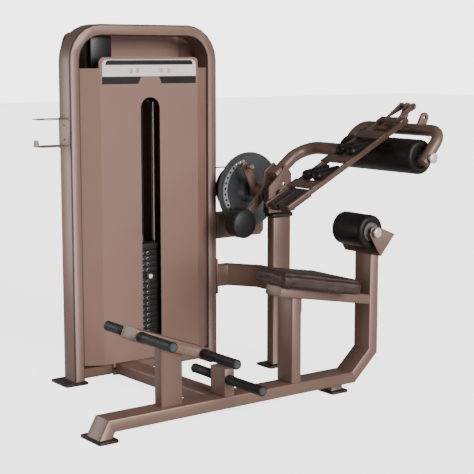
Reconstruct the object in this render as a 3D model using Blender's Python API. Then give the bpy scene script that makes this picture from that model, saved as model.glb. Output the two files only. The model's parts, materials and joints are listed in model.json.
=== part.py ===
"""Selectorised seated machine: weight-stack tower, tilted seat, swing arm with an upper roller.

Metres, +Z up. The user sits facing -X, so +X is behind the seat and +Y is towards the tower.
The origin is on the floor, under the centre of the pivot post's foot plate.
"""

from math import atan2, cos, hypot, pi, radians, sin

import bmesh
import bpy
from mathutils import Matrix, Vector

# Fits
GAP = 0.0003  # between pieces that touch
RUN = 0.0010  # radial clearance of a piece that turns or slides on another

# Tower: one welded loop of rectangular tube on foot plates
TOWER_WIDTH = 0.757
TOWER_HEIGHT = 1.550
TOWER_BEND = 0.157  # outer radius of the top corners
TUBE_FACE = 0.050  # narrow side of the frame tube
TUBE_DEPTH = 0.100  # wide side of the frame tube
TUBE_CORNER = 0.006
FOOT_THICK = 0.010
FOOT_REACH = 0.055  # how far a foot plate passes the post on its outer side
FOOT_BOLT = 0.006  # radius of the floor bolt holes
CROSSBAR = (0.020, 0.020 + TUBE_FACE)  # lower bar of the loop, bottom and top

# Shrouds: folded sheet
SHEET = 0.003
SHROUD_FOLD = 0.128  # from the loop's outside to where the flank meets the front panel
SHROUD_FRONT = -0.032
SHROUD_BOTTOM, SHROUD_TOP = CROSSBAR[1] + 0.005, 1.410
SHROUD_SHOULDER = 0.047  # how far the flanks stop below the front panel
SHROUD_CORNER = 0.026
SLOT_WIDTH = 0.098
SLOT_BOTTOM, SLOT_TOP = 0.165, 1.237
REAR_BACK = 0.185
PLACARD = (0.138, 0.619, 1.296, 1.400)  # left, right, bottom, top

# Weight stack
STACK_CENTRE = TOWER_WIDTH / 2
STACK_Y = 0.050
STACK_BASE = 0.1753
PLATE_PITCH = 0.0255
PLATE_SIZE = (0.240, 0.100)
REST_PLATES = 10
LIFTED_PLATES = 5
ROD_OFFSET = 0.066
ROD_RADIUS = 0.0095
STEM_RADIUS = 0.011
SELECTOR_RADIUS = 0.005

# Belt drive, all in the plane y = STACK_Y
BELT_THICK, BELT_WIDTH = 0.003, 0.026
PULLEY_RADIUS, PULLEY_WIDTH = 0.045, 0.032
CAM_RADIUS = 0.100
PULLEY_TOP = 1.310

# Swing arm pivot, axis along Y
PIVOT_X, PIVOT_Z = TOWER_WIDTH + 0.148, 0.800
AXLE_RADIUS = 0.0185
DISC_RADIUS, DISC_Y = 0.175, -0.052
DISC_HOLE_RADIUS = 0.137
PIN_ANGLE, HOLE_PITCH = radians(120), radians(11)  # where the pull pin is, and from hole to hole
PULL_TRAVEL = 0.013
POST_X, POST_Y = PIVOT_X + 0.034, -0.232
POST_TOP = 0.690
PLATE_FRONT, PLATE_BACK, ARM_PLATE = -0.272, -0.192, 0.010

# Arm, upper roller and yoke
ARM_RADIUS = 0.0285
ROLLER_X, ROLLER_Z = PIVOT_X + 0.207, 1.000
ROLLER_Y = (-0.960, -0.510)
ROLLER_RADIUS, ROLLER_CORE = 0.0725, 0.045
YOKE_RADIUS = 0.025
YOKE_X, YOKE_Z = PIVOT_X + 0.295, 1.105

# Harness that folds down over the roller, in its own s (along) and n (up) directions
HINGE_X, HINGE_Z = PIVOT_X + 0.341, 1.200
HARNESS_SLOPE = radians(27.1)
HARNESS_Y = -0.735
RAIL_SPREAD = 0.070  # half the distance between the two rails
HARNESS_PLATES = (0.241, 0.447, 0.652)
HARNESS_END = 0.814

# Base, seat and lumbar roller
FRONT_Y = -0.7325  # middle plane of the base, the seat and both rollers
RAIL_LOW = 0.032
RAIL_HIGH = RAIL_LOW + TUBE_FACE
KNEE_X, REAR_X = PIVOT_X + 0.017, PIVOT_X + 0.144  # outer corners of the rear bend
KNEE_Z = 0.147
REAR_TOP = 0.572
SEAT_SLOPE = radians(10.2)
SEAT_START = Vector((PIVOT_X - 0.388, 0, 0.493))  # upper front corner of the seat rail
SEAT_RAIL = 0.042
PAD_THICK = 0.056
LUMBAR_X, LUMBAR_Z = PIVOT_X + 0.060, 0.685
LUMBAR_Y = (-0.823, -0.642)
LUMBAR_RADIUS = 0.070

# Foot pegs
PEG_RADIUS, PEG_CORE = 0.020, 0.0125

BRONZE = ((0.330, 0.215, 0.175), 0.42, 0.55)
DARK_BRONZE = ((0.080, 0.050, 0.042), 0.48, 0.45)
BLACK_STEEL = ((0.020, 0.020, 0.022), 0.45, 0.30)
BRIGHT_STEEL = ((0.620, 0.600, 0.590), 0.25, 1.00)
GREY_STEEL = ((0.150, 0.165, 0.170), 0.32, 0.85)
RUBBER = ((0.022, 0.024, 0.026), 0.75, 0.00)
VINYL = ((0.050, 0.030, 0.027), 0.50, 0.00)
PLACARD_SHEET = ((0.780, 0.760, 0.730), 0.40, 0.00)
PLASTIC = ((0.030, 0.030, 0.032), 0.55, 0.00)

for old in list(bpy.data.objects):
    bpy.data.objects.remove(old, do_unlink=True)

scene = bpy.context.scene.collection
corner = bpy.data.objects.new("tower_corner", None)  # the measures above start here
corner.location = (-POST_X, -POST_Y, 0)
scene.objects.link(corner)


def empty(name, location, parent=corner):
    joint = bpy.data.objects.new(name, None)
    joint.location = location
    joint.parent = parent
    scene.objects.link(joint)
    return joint


arm_axis = empty("arm_axis", (PIVOT_X, 0, PIVOT_Z))
harness_axis = empty("harness_axis", (HINGE_X - PIVOT_X, 0, HINGE_Z - PIVOT_Z), arm_axis)
roller_axis = empty("roller_axis", (ROLLER_X - PIVOT_X, 0, ROLLER_Z - PIVOT_Z), arm_axis)
lumbar_axis = empty("lumbar_axis", (LUMBAR_X, 0, LUMBAR_Z))


def from_corner(parent):
    place = Vector((0, 0, 0))
    while parent is not corner:
        place += parent.location
        parent = parent.parent
    return place


def add(name, bm, look, parent=corner, smooth=True):
    """A node from a bmesh in the tower corner's coordinates, hung on its parent."""
    bmesh.ops.recalc_face_normals(bm, faces=bm.faces)
    bmesh.ops.translate(bm, verts=bm.verts, vec=-from_corner(parent))
    mesh = bpy.data.meshes.new(name)
    bm.to_mesh(mesh)
    bm.free()
    if smooth:
        mesh.shade_smooth()
        mesh.set_sharp_from_angle(angle=radians(35))
    node = bpy.data.objects.new(name, mesh)
    node.parent = parent
    scene.objects.link(node)
    if look:
        colour, roughness, metallic = look
        material = bpy.data.materials.new(name)
        material.use_nodes = True
        shader = material.node_tree.nodes["Principled BSDF"]
        shader.inputs["Base Color"].default_value = (*colour, 1)
        shader.inputs["Roughness"].default_value = roughness
        shader.inputs["Metallic"].default_value = metallic
        mesh.materials.append(material)
    return node


def boolean(node, bm, operation):
    """Cuts or welds a shape into a node, through a hidden helper."""
    helper = add(f"{node.name}_{operation.lower()}", bm, None, node.parent, smooth=False)
    helper.hide_render = True
    helper.display_type = "WIRE"
    modifier = node.modifiers.new(helper.name, "BOOLEAN")
    modifier.operation = operation
    modifier.solver = "EXACT"
    modifier.object = helper


def cut(node, *shapes):
    for bm in shapes:
        boolean(node, bm, "DIFFERENCE")


def weld(node, *shapes):
    for bm in shapes:
        boolean(node, bm, "UNION")


def rounded_rect(width, height, radius, steps=2):
    """Outline of a rectangle with round corners about its centre."""
    outline = []
    for quarter, (sx, sy) in enumerate(((1, 1), (-1, 1), (-1, -1), (1, -1))):
        for step in range(steps + 1):
            angle = (quarter + step / steps) * pi / 2
            outline.append((sx * (width / 2 - radius) + radius * cos(angle),
                            sy * (height / 2 - radius) + radius * sin(angle)))
    return outline


def circle(radius, segments=20, start=0.0):
    return [(radius * cos(start + 2 * pi * i / segments), radius * sin(start + 2 * pi * i / segments))
            for i in range(segments)]


TUBE = rounded_rect(TUBE_FACE, TUBE_DEPTH, TUBE_CORNER)


def fillet(points, radius, steps=5):
    """A path whose inner corners are arcs."""
    points = [Vector(p) for p in points]
    path = [points[0]]
    for before, here, after in zip(points, points[1:], points[2:]):
        into, out = (here - before).normalized(), (after - here).normalized()
        turn = into.angle(out)
        reach = radius * sin(turn / 2) / cos(turn / 2)
        start = here - into * reach
        centre = start + (out - into * into.dot(out)).normalized() * radius
        axis = into.cross(out).normalized()
        for step in range(steps + 1):
            path.append(centre + Matrix.Rotation(turn * step / steps, 3, axis) @ (start - centre))
    path.append(points[-1])
    return path


def sweep(points, profile, across, first=None, last=None):
    """A closed profile carried along a path. across is the profile's x direction at the start,
    and first and last are the normals of the end faces where they aren't square."""
    points = [Vector(p) for p in points]
    ways = [(b - a).normalized() for a, b in zip(points, points[1:])]
    across = Vector(across)
    across = (across - ways[0] * across.dot(ways[0])).normalized()
    bm = bmesh.new()
    rings = []
    for i, point in enumerate(points):
        into, out = ways[max(i - 1, 0)], ways[min(i, len(ways) - 1)]
        normal = (into + out).normalized()
        if i == 0 and first is not None:
            normal = Vector(first).normalized()
        if i == len(points) - 1 and last is not None:
            normal = Vector(last).normalized()
        up = into.cross(across)
        ring = []
        for x, y in profile:
            offset = across * x + up * y
            offset -= into * (offset.dot(normal) / into.dot(normal))
            ring.append(bm.verts.new(point + offset))
        rings.append(ring)
        across = into.rotation_difference(out) @ across
    for a, b in zip(rings, rings[1:]):
        for j in range(len(a)):
            k = (j + 1) % len(a)
            bm.faces.new((a[j], a[k], b[k], b[j]))
    bm.faces.new(rings[0][::-1])
    bm.faces.new(rings[-1])
    return bm


def prism(outline, plane, start, end, rim=0.0):
    """An outline in the plane "xy", "xz" or "yz", extruded from start to end along the third axis.
    rim bevels the two outlines."""
    lift = {"xy": lambda a, b, c: (a, b, c), "xz": lambda a, b, c: (a, c, b),
            "yz": lambda a, b, c: (c, a, b)}[plane]
    bm = bmesh.new()
    face = bm.faces.new([bm.verts.new(lift(a, b, start)) for a, b in outline])
    moved = bmesh.ops.extrude_face_region(bm, geom=[face])["geom"]
    verts = [v for v in moved if isinstance(v, bmesh.types.BMVert)]
    bmesh.ops.translate(bm, verts=verts, vec=Vector(lift(0, 0, end - start)))
    if rim:
        flat = [f for f in bm.faces if len(f.verts) == len(outline)]
        edges = {e for f in flat for e in f.edges}
        bmesh.ops.bevel(bm, geom=list(edges), offset=rim, segments=1, affect="EDGES")
    return bm


def block(x, y, z, rim=0.0):
    outline = [(x[0], y[0]), (x[1], y[0]), (x[1], y[1]), (x[0], y[1])]
    return prism(outline, "xy", z[0], z[1], rim)


def shifted(outline, a, b):
    return [(x + a, y + b) for x, y in outline]


def turned(profile, centre, segments=28, axis="y", phase=0.0):
    """A solid of revolution from (radius, position) pairs. It is a ring when no radius is 0."""
    bm = bmesh.new()
    hollow = all(radius > 0 for radius, _ in profile)
    rings = []
    for radius, position in profile:
        ring = []
        for i in range(segments if radius > 0 else 1):
            angle = phase + 2 * pi * i / segments
            a, b = radius * cos(angle), radius * sin(angle)
            place = {"y": (a, position, b), "z": (a, b, position), "x": (position, a, b)}[axis]
            ring.append(bm.verts.new(Vector(centre) + Vector(place)))
        rings.append(ring)
    pairs = list(zip(rings, rings[1:])) + ([(rings[-1], rings[0])] if hollow else [])
    for a, b in pairs:
        for i in range(segments):
            j = (i + 1) % segments
            if len(a) == 1:
                bm.faces.new((a[0], b[j], b[i]))
            elif len(b) == 1:
                bm.faces.new((a[i], a[j], b[0]))
            else:
                bm.faces.new((a[i], a[j], b[j], b[i]))
    return bm


def cylinder(radius, start, end, centre, segments=20, axis="y", rim=0.0):
    ends = [(radius, start), (radius, end)]
    if rim:
        ends = [(radius - rim, start), (radius, start + rim), (radius, end - rim), (radius - rim, end)]
    return turned([(0, start), *ends, (0, end)], centre, segments, axis)


def ring(inner, outer, start, end, centre, segments=28, axis="y"):
    return turned([(inner, start), (outer, start), (outer, end), (inner, end)], centre, segments, axis)


def foot_plate(x, y, holes):
    """A floor plate with round corners and its bolt holes."""
    middle = ((x[0] + x[1]) / 2, (y[0] + y[1]) / 2)
    outline = shifted(rounded_rect(x[1] - x[0], y[1] - y[0], 0.010), *middle)
    plate = prism(outline, "xy", 0, FOOT_THICK)
    bores = [cylinder(FOOT_BOLT, -0.01, FOOT_THICK + 0.01, (a, b, 0), 12, "z") for a, b in holes]
    return plate, bores


# --- Tower -------------------------------------------------------------------------------------

MID = TUBE_FACE / 2
loop = fillet([(MID, STACK_Y, FOOT_THICK / 2), (MID, STACK_Y, TOWER_HEIGHT - MID),
               (TOWER_WIDTH - MID, STACK_Y, TOWER_HEIGHT - MID), (TOWER_WIDTH - MID, STACK_Y, FOOT_THICK / 2)],
              TOWER_BEND - MID, 6)
tower = add("tower_frame", sweep(loop, TUBE, (1, 0, 0)), BRONZE)
weld(tower, prism(shifted(rounded_rect(TUBE_DEPTH - 0.002, CROSSBAR[1] - CROSSBAR[0], TUBE_CORNER), STACK_Y,
                          sum(CROSSBAR) / 2), "yz", MID, TOWER_WIDTH - MID))
for side, x in (("left", (-FOOT_REACH, FOOT_REACH)), ("right", (TOWER_WIDTH - FOOT_REACH, TOWER_WIDTH + FOOT_REACH))):
    outer = x[0] + 0.027 if side == "left" else x[1] - 0.027
    plate, bores = foot_plate(x, (-0.024, 0.124), [(outer, 0.002), (outer, 0.098)])
    weld(tower, plate)
    cut(tower, *bores)
# The belt passes the right post through this window.
BELT_LEVEL = PIVOT_Z + CAM_RADIUS + BELT_THICK / 2
window = rounded_rect(0.040, 0.030, 0.008)
cut(tower, prism(shifted(window, STACK_Y, BELT_LEVEL), "yz", TOWER_WIDTH - 0.08, TOWER_WIDTH + 0.03))


def folded_sheet(edge_y, panel_y, fold, edge, bottom, top):
    """A panel with two angled flanks, as a strip of sheet seen from above."""
    out = SHEET if panel_y > edge_y else -SHEET
    slope = atan2(abs(panel_y - edge_y), fold - edge)
    shift = abs(out) * (1 - cos(slope)) / sin(slope)  # keeps the flank as thick as the panel
    outer = [(edge, edge_y), (fold, panel_y), (TOWER_WIDTH - fold, panel_y), (TOWER_WIDTH - edge, edge_y)]
    side = SHEET * sin(slope)
    back = out * cos(slope)
    inner = [(TOWER_WIDTH - edge - side, edge_y - back), (TOWER_WIDTH - fold - shift, panel_y - out),
             (fold + shift, panel_y - out), (edge + side, edge_y - back)]
    return prism(outer + inner, "xy", bottom, top)


def tall_plate(width, bottom, top, radius, steps=6):
    """Front view of a shroud: square at the foot, round at the two upper corners."""
    outline = [(width[0], bottom), (width[1], bottom)]
    for centre, first in ((width[1] - radius, 0), (width[0] + radius, pi / 2)):
        outline += [(centre + radius * cos(first + pi / 2 * i / steps),
                     top - radius + radius * sin(first + pi / 2 * i / steps)) for i in range(steps + 1)]
    return outline


edge_x = TUBE_FACE + GAP
front = add("front_shroud", folded_sheet(0.012, SHROUD_FRONT, SHROUD_FOLD, edge_x, SHROUD_BOTTOM, SHROUD_TOP + 0.01),
            BRONZE)
shoulder, fold_x = SHROUD_TOP - SHROUD_SHOULDER, SHROUD_FOLD - 0.005
crown = tall_plate((fold_x, TOWER_WIDTH - fold_x), shoulder, SHROUD_TOP, SHROUD_CORNER)
silhouette = [(edge_x - 0.001, SHROUD_BOTTOM - 0.01), (TOWER_WIDTH - edge_x + 0.001, SHROUD_BOTTOM - 0.01),
              (TOWER_WIDTH - edge_x + 0.001, shoulder), *crown[1:], crown[0], (edge_x - 0.001, shoulder)]
boolean(front, prism(silhouette, "xz", SHROUD_FRONT - 0.02, 0.04), "INTERSECT")
slot = tall_plate((STACK_CENTRE - SLOT_WIDTH / 2, STACK_CENTRE + SLOT_WIDTH / 2), SLOT_BOTTOM, SLOT_TOP,
                  SLOT_WIDTH / 2 - 0.001)
cut(front, prism(slot, "xz", SHROUD_FRONT - 0.02, 0.02))

rear = add("rear_shroud", folded_sheet(TUBE_DEPTH + 0.004, REAR_BACK, 0.085, 0.012, SHROUD_BOTTOM, 1.520), DARK_BRONZE)
silhouette = tall_plate((0.011, TOWER_WIDTH - 0.011), SHROUD_BOTTOM - 0.01, 1.520, 0.120)
boolean(rear, prism(silhouette, "xz", TUBE_DEPTH - 0.01, REAR_BACK + 0.02), "INTERSECT")

left, right, low, high = PLACARD
add("info_placard", prism(shifted(rounded_rect(right - left, high - low, 0.008), (left + right) / 2, (low + high) / 2),
                          "xz", SHROUD_FRONT - GAP - 0.002, SHROUD_FRONT - GAP), PLACARD_SHEET)

# Bottle holder: one bent sheet with a ring above a tray
HOLDER_X, HOLDER_LOW, HOLDER_HIGH = (-0.138, -GAP), 1.036, 1.150
holder = add("bottle_holder", block((-0.004, HOLDER_X[1]), (0.004, 0.096), (HOLDER_LOW - 0.012, HOLDER_HIGH + 0.006)),
             BRONZE)
tray = rounded_rect(HOLDER_X[1] - HOLDER_X[0], 0.104, 0.030, 4)
for z in (HOLDER_LOW, HOLDER_HIGH):
    weld(holder, prism(shifted(tray, sum(HOLDER_X) / 2, STACK_Y), "xy", z, z + 0.003))
weld(holder, prism(shifted(rounded_rect(0.044, 0.030, 0.014, 4), STACK_Y, HOLDER_LOW + 0.014), "yz",
                   HOLDER_X[0], HOLDER_X[0] + 0.003))
cut(holder, cylinder(0.040, HOLDER_HIGH - 0.01, HOLDER_HIGH + 0.01, (-0.075, STACK_Y, 0), 28, "z"))
cut(holder, block((-0.1, 0.01), (-0.02, 0.0035), (HOLDER_LOW - 0.02, HOLDER_HIGH + 0.02)))

# --- Weight stack ------------------------------------------------------------------------------

ROD_TOP = PULLEY_TOP - 0.090
for side, x in (("left", STACK_CENTRE - ROD_OFFSET), ("right", STACK_CENTRE + ROD_OFFSET)):
    add(f"guide_rod_{side}", cylinder(ROD_RADIUS, CROSSBAR[1] + GAP, ROD_TOP, (x, STACK_Y, 0), 14, "z"), BRIGHT_STEEL)
    add(f"stack_buffer_{side}", ring(ROD_RADIUS + RUN, 0.024, CROSSBAR[1] + GAP, STACK_BASE - GAP, (x, STACK_Y, 0),
                                     20, "z"), RUBBER)


def plates(count, bottom):
    """Steel plates lying on each other, with the slits between their edges."""
    size = [PLATE_SIZE[0] / 2, PLATE_SIZE[1] / 2]
    levels = []
    for i in range(count):
        z = bottom + i * PLATE_PITCH
        levels += [(0, z + 0.0008), (0, z + PLATE_PITCH - 0.0008)]
        if i < count - 1:
            levels += [(0.003, z + PLATE_PITCH - 0.0008), (0.003, z + PLATE_PITCH + 0.0008)]
    bm = bmesh.new()
    rings = []
    for inset, z in levels:
        x, y = size[0] - inset, size[1] - inset
        rings.append([bm.verts.new((STACK_CENTRE + a * x, STACK_Y + b * y, z))
                      for a, b in ((1, 1), (-1, 1), (-1, -1), (1, -1))])
    for a, b in zip(rings, rings[1:]):
        for i in range(4):
            j = (i + 1) % 4
            bm.faces.new((a[i], a[j], b[j], b[i]))
    bm.faces.new(rings[0][::-1])
    bm.faces.new(rings[-1])
    return bm


def bored(node, bottom, top):
    for x in (STACK_CENTRE - ROD_OFFSET, STACK_CENTRE + ROD_OFFSET):
        cut(node, cylinder(ROD_RADIUS + RUN, bottom - 0.01, top + 0.01, (x, STACK_Y, 0), 14, "z"))
    cut(node, cylinder(STEM_RADIUS + RUN, bottom - 0.01, top + 0.01, (STACK_CENTRE, STACK_Y, 0), 16, "z"))


LIFT_BASE = STACK_BASE + REST_PLATES * PLATE_PITCH
LIFT_TOP = LIFT_BASE + LIFTED_PLATES * PLATE_PITCH
bored(add("resting_weight_plates", plates(REST_PLATES, STACK_BASE), BLACK_STEEL), STACK_BASE, LIFT_BASE)
lifted = add("lifted_weight_plates", plates(LIFTED_PLATES, LIFT_BASE), BLACK_STEEL)
bored(lifted, LIFT_BASE, LIFT_TOP)
PIN_Z = LIFT_BASE + PLATE_PITCH / 2
cut(lifted, cylinder(SELECTOR_RADIUS + RUN, STACK_Y - PLATE_SIZE[1], STACK_Y, (STACK_CENTRE, 0, PIN_Z), 12))

head = add("stack_head_plate", block((STACK_CENTRE - PLATE_SIZE[0] / 2, STACK_CENTRE + PLATE_SIZE[0] / 2),
                                     (STACK_Y - PLATE_SIZE[1] / 2, STACK_Y + PLATE_SIZE[1] / 2),
                                     (LIFT_TOP + GAP, LIFT_TOP + 0.032), 0.003), BLACK_STEEL)
for x in (STACK_CENTRE - ROD_OFFSET, STACK_CENTRE + ROD_OFFSET):
    cut(head, cylinder(ROD_RADIUS + RUN, LIFT_TOP - 0.01, LIFT_TOP + 0.05, (x, STACK_Y, 0), 14, "z"))
STEM_TOP = LIFT_TOP + 0.062
weld(head, cylinder(STEM_RADIUS, STACK_BASE + 0.004, STEM_TOP, (STACK_CENTRE, STACK_Y, 0), 16, "z"))
cut(head, cylinder(SELECTOR_RADIUS + RUN, STACK_Y - 0.1, STACK_Y + 0.1, (STACK_CENTRE, 0, PIN_Z), 12))

STACK_FRONT = STACK_Y - PLATE_SIZE[1] / 2
selector = add("selector_pin", cylinder(SELECTOR_RADIUS, STACK_FRONT - 0.004, STACK_Y + 0.008,
                                        (STACK_CENTRE, 0, PIN_Z), 12, rim=0.001), BRIGHT_STEEL)
weld(selector, cylinder(0.0105, STACK_FRONT - 0.024, STACK_FRONT - 0.001, (STACK_CENTRE, 0, PIN_Z), 16, rim=0.002))

# --- Belt drive --------------------------------------------------------------------------------

WRAP = PULLEY_RADIUS + BELT_THICK / 2 + GAP
FIRST_X = STACK_CENTRE + WRAP
PULLEY_RIM = PULLEY_RADIUS + 0.004
THIRD_X = TOWER_WIDTH - TUBE_FACE - 0.0044 - PULLEY_RIM  # beside the right post
SECOND_X = THIRD_X - 2 * WRAP
THIRD_Z = BELT_LEVEL + GAP + WRAP
PULLEYS = (("top_centre_pulley", FIRST_X, PULLEY_TOP), ("top_side_pulley", SECOND_X, PULLEY_TOP),
           ("lower_side_pulley", THIRD_X, THIRD_Z))
HALF = PULLEY_WIDTH / 2
for name, x, z in PULLEYS:
    groove = [(0.0085, -HALF), (PULLEY_RIM, -HALF), (PULLEY_RIM, -HALF + 0.002),
              (PULLEY_RADIUS, -HALF + 0.0025), (PULLEY_RADIUS, HALF - 0.0025),
              (PULLEY_RIM, HALF - 0.002), (PULLEY_RIM, HALF), (0.0085, HALF)]
    add(name, turned(groove, (x, STACK_Y, z), 24), PLASTIC)

# Carrier for the two upper pulleys and the heads of the guide rods: it hangs from the top tube on
# the left and is bolted to the right post.
CARRIER_Y = STACK_Y + HALF + RUN
carrier = add("pulley_carrier", block((0.120, TOWER_WIDTH - TUBE_FACE - GAP), (CARRIER_Y, CARRIER_Y + 0.006),
                                      (ROD_TOP - 0.006, PULLEY_TOP + 0.030)), BLACK_STEEL)
weld(carrier, block((STACK_CENTRE - 0.095, STACK_CENTRE - 0.022), (STACK_Y - 0.022, CARRIER_Y + 0.001),
                    (ROD_TOP - 0.006, ROD_TOP + 0.004)))
weld(carrier, block((STACK_CENTRE + 0.022, STACK_CENTRE + 0.095), (STACK_Y - 0.022, CARRIER_Y + 0.001),
                    (ROD_TOP - 0.006, ROD_TOP + 0.004)))
for x in (STACK_CENTRE - ROD_OFFSET, STACK_CENTRE + ROD_OFFSET):
    cut(carrier, cylinder(ROD_RADIUS + GAP, ROD_TOP - 0.02, ROD_TOP + 0.0005, (x, STACK_Y, 0), 14, "z"))
hanger_top = TOWER_HEIGHT - TUBE_FACE - GAP
HANGER_X = TUBE_FACE + 0.071
hanger_foot = PULLEY_TOP + 0.055
hanger = [(HANGER_X, hanger_foot), (0.222, hanger_foot), (0.222, hanger_top), (HANGER_X + 0.039, hanger_top),
          (HANGER_X, hanger_top - 0.0077)]
weld(carrier, prism(hanger, "xz", 0.030, CARRIER_Y + 0.003))
weld(carrier, block((0.120, 0.222), (CARRIER_Y, CARRIER_Y + 0.006), (PULLEY_TOP, 1.40)))
for name, x, z in PULLEYS[:2]:
    weld(carrier, cylinder(0.0085 - RUN, STACK_Y - HALF - 0.004, CARRIER_Y + 0.002, (x, 0, z), 14))

third = add("lower_pulley_bracket", block((THIRD_X - 0.030, TOWER_WIDTH - TUBE_FACE - GAP),
                                          (CARRIER_Y, CARRIER_Y + 0.006), (THIRD_Z - 0.030, THIRD_Z + 0.075)),
            BLACK_STEEL)
weld(third, cylinder(0.0085 - RUN, STACK_Y - HALF - 0.004, CARRIER_Y + 0.002, (THIRD_X, 0, THIRD_Z), 14))


def arc(x, z, radius, start, end, steps):
    return [(x + radius * cos(start + (end - start) * i / steps), z + radius * sin(start + (end - start) * i / steps))
            for i in range(steps + 1)]


CAM_WRAP = CAM_RADIUS + BELT_THICK / 2 + GAP
route = [(STACK_CENTRE, STEM_TOP + GAP)]
route += arc(FIRST_X, PULLEY_TOP, WRAP, pi, pi / 2, 8)
route += arc(SECOND_X, PULLEY_TOP, WRAP, pi / 2, 0, 8)
route += arc(THIRD_X, THIRD_Z, WRAP, pi, 3 * pi / 2, 8)
route += arc(PIVOT_X, PIVOT_Z, CAM_WRAP, pi / 2, 0.12, 12)
band = [(x, y) for x, y in ((-BELT_THICK / 2, -BELT_WIDTH / 2), (BELT_THICK / 2, -BELT_WIDTH / 2),
                            (BELT_THICK / 2, BELT_WIDTH / 2), (-BELT_THICK / 2, BELT_WIDTH / 2))]
add("lift_belt", sweep([(x, STACK_Y, z) for x, z in route], band, (1, 0, 0)), RUBBER)

# --- Pivot post and bearings -------------------------------------------------------------------

post = add("pivot_post", sweep([(POST_X, POST_Y, FOOT_THICK / 2), (POST_X, POST_Y, POST_TOP)],
                               rounded_rect(TUBE_DEPTH, TUBE_FACE, TUBE_CORNER), (1, 0, 0)), BRONZE)
plate, bores = foot_plate((POST_X - 0.088, POST_X + 0.088), (POST_Y - 0.055, POST_Y + 0.055),
                          [(POST_X - 0.070, POST_Y), (POST_X + 0.070, POST_Y)])
weld(post, plate)
cut(post, *bores)

CAP_TOP = POST_TOP + GAP + 0.020
add("pivot_post_cap", block((POST_X - 0.062, POST_X + 0.062), (POST_Y - 0.031, POST_Y + 0.031),
                            (POST_TOP + GAP, CAP_TOP), 0.006), DARK_BRONZE)

BEARING_OUTER = 0.038
bearing = [(PIVOT_X - 0.040, CAP_TOP + GAP), (PIVOT_X + 0.070, CAP_TOP + GAP), (PIVOT_X + 0.070, CAP_TOP + 0.014)]
bearing += arc(PIVOT_X, PIVOT_Z, BEARING_OUTER, 0, pi, 12)
bearing += [(PIVOT_X - 0.040, CAP_TOP + 0.014)]
house = add("pivot_bearing", prism(bearing, "xz", POST_Y - 0.020, POST_Y + 0.020), DARK_BRONZE)
cut(house, cylinder(AXLE_RADIUS + RUN, POST_Y - 0.05, POST_Y + 0.05, (PIVOT_X, 0, PIVOT_Z)))

# Short beam that the tower carries under the cam, with the rear bearing standing on it
SHELF_END, SHELF_LOW, SHELF_TOP, CHAMFER = PIVOT_X + 0.125, 0.572, 0.689, 0.024
RIGHT_FACE = TOWER_WIDTH + GAP
shelf = [(0, SHELF_LOW + CHAMFER), (CHAMFER, SHELF_LOW), (TUBE_DEPTH - CHAMFER, SHELF_LOW),
         (TUBE_DEPTH, SHELF_LOW + CHAMFER), (TUBE_DEPTH, SHELF_TOP - 0.004), (TUBE_DEPTH - 0.004, SHELF_TOP),
         (0.004, SHELF_TOP), (0, SHELF_TOP - 0.004)]
add("pivot_shelf", prism(shelf, "yz", RIGHT_FACE, SHELF_END), BRONZE)
REAR_BEARING = (STACK_Y + 0.026, STACK_Y + 0.046)
pedestal = [(PIVOT_X - 0.050, SHELF_TOP + GAP), (PIVOT_X + 0.050, SHELF_TOP + GAP), (PIVOT_X + 0.050, SHELF_TOP + 0.012)]
pedestal += arc(PIVOT_X, PIVOT_Z, 0.036, 0, pi, 12)
pedestal += [(PIVOT_X - 0.050, SHELF_TOP + 0.012)]
rear_house = add("rear_bearing", prism(pedestal, "xz", *REAR_BEARING), DARK_BRONZE)
cut(rear_house, cylinder(AXLE_RADIUS + RUN, 0.0, 0.2, (PIVOT_X, 0, PIVOT_Z), 24))

# --- Beams from the tower to the pivot post and on to the seat -----------------------------------

BEAM = rounded_rect(TUBE_FACE, TUBE_DEPTH, TUBE_CORNER)
POST_BACK, POST_FACE = POST_Y + TUBE_FACE / 2 + GAP, POST_Y - TUBE_FACE / 2 - GAP
BEAM_Z = 0.398
flange = 0.008
link = add("rear_link_beam", sweep([(RIGHT_FACE + flange / 2, 0.030, BEAM_Z), (PIVOT_X - 0.0675, 0.030, BEAM_Z),
                                    (PIVOT_X + 0.020, -0.104, BEAM_Z), (PIVOT_X + 0.020, POST_BACK, BEAM_Z)], BEAM, (0, 1, 0),
                                   last=(0, 1, 0)), BRONZE)
weld(link, block((RIGHT_FACE, RIGHT_FACE + flange), (0.001, 0.099), (BEAM_Z - 0.082, BEAM_Z + 0.082)))
SEAT_BACK = FRONT_Y + TUBE_DEPTH / 2 + GAP
add("front_link_beam", sweep([(PIVOT_X + 0.009, POST_FACE, BEAM_Z), (PIVOT_X - 0.228, SEAT_BACK, BEAM_Z)], BEAM, (1, 0, 0),
                             first=(0, 1, 0), last=(0, 1, 0)), BRONZE)

# --- Disc, cam and axle --------------------------------------------------------------------------

PIVOT = (PIVOT_X, 0, PIVOT_Z)
AXLE_Y = (PLATE_FRONT - ARM_PLATE - 0.012, REAR_BEARING[1] + 0.004)
add("pivot_axle", cylinder(AXLE_RADIUS, *AXLE_Y, PIVOT, 24, rim=0.002), GREY_STEEL, arm_axis)
bore = AXLE_RADIUS + GAP
dish = [(bore, DISC_Y - 0.020), (0.048, DISC_Y - 0.020), (0.060, DISC_Y + 0.010), (0.118, DISC_Y + 0.004),
        (DISC_RADIUS - 0.004, DISC_Y - 0.004), (DISC_RADIUS, DISC_Y), (DISC_RADIUS, DISC_Y + 0.006),
        (0.120, DISC_Y + 0.014), (0.062, DISC_Y + 0.022), (bore, DISC_Y + 0.022)]
disc = add("range_disc", turned(dish, PIVOT, 48), GREY_STEEL, arm_axis)
for step in range(-1, 10):
    angle = PIN_ANGLE + step * HOLE_PITCH
    centre = (PIVOT_X + DISC_HOLE_RADIUS * cos(angle), 0, PIVOT_Z + DISC_HOLE_RADIUS * sin(angle))
    cut(disc, cylinder(0.0065, DISC_Y - 0.05, DISC_Y + 0.05, centre, 12))
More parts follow.
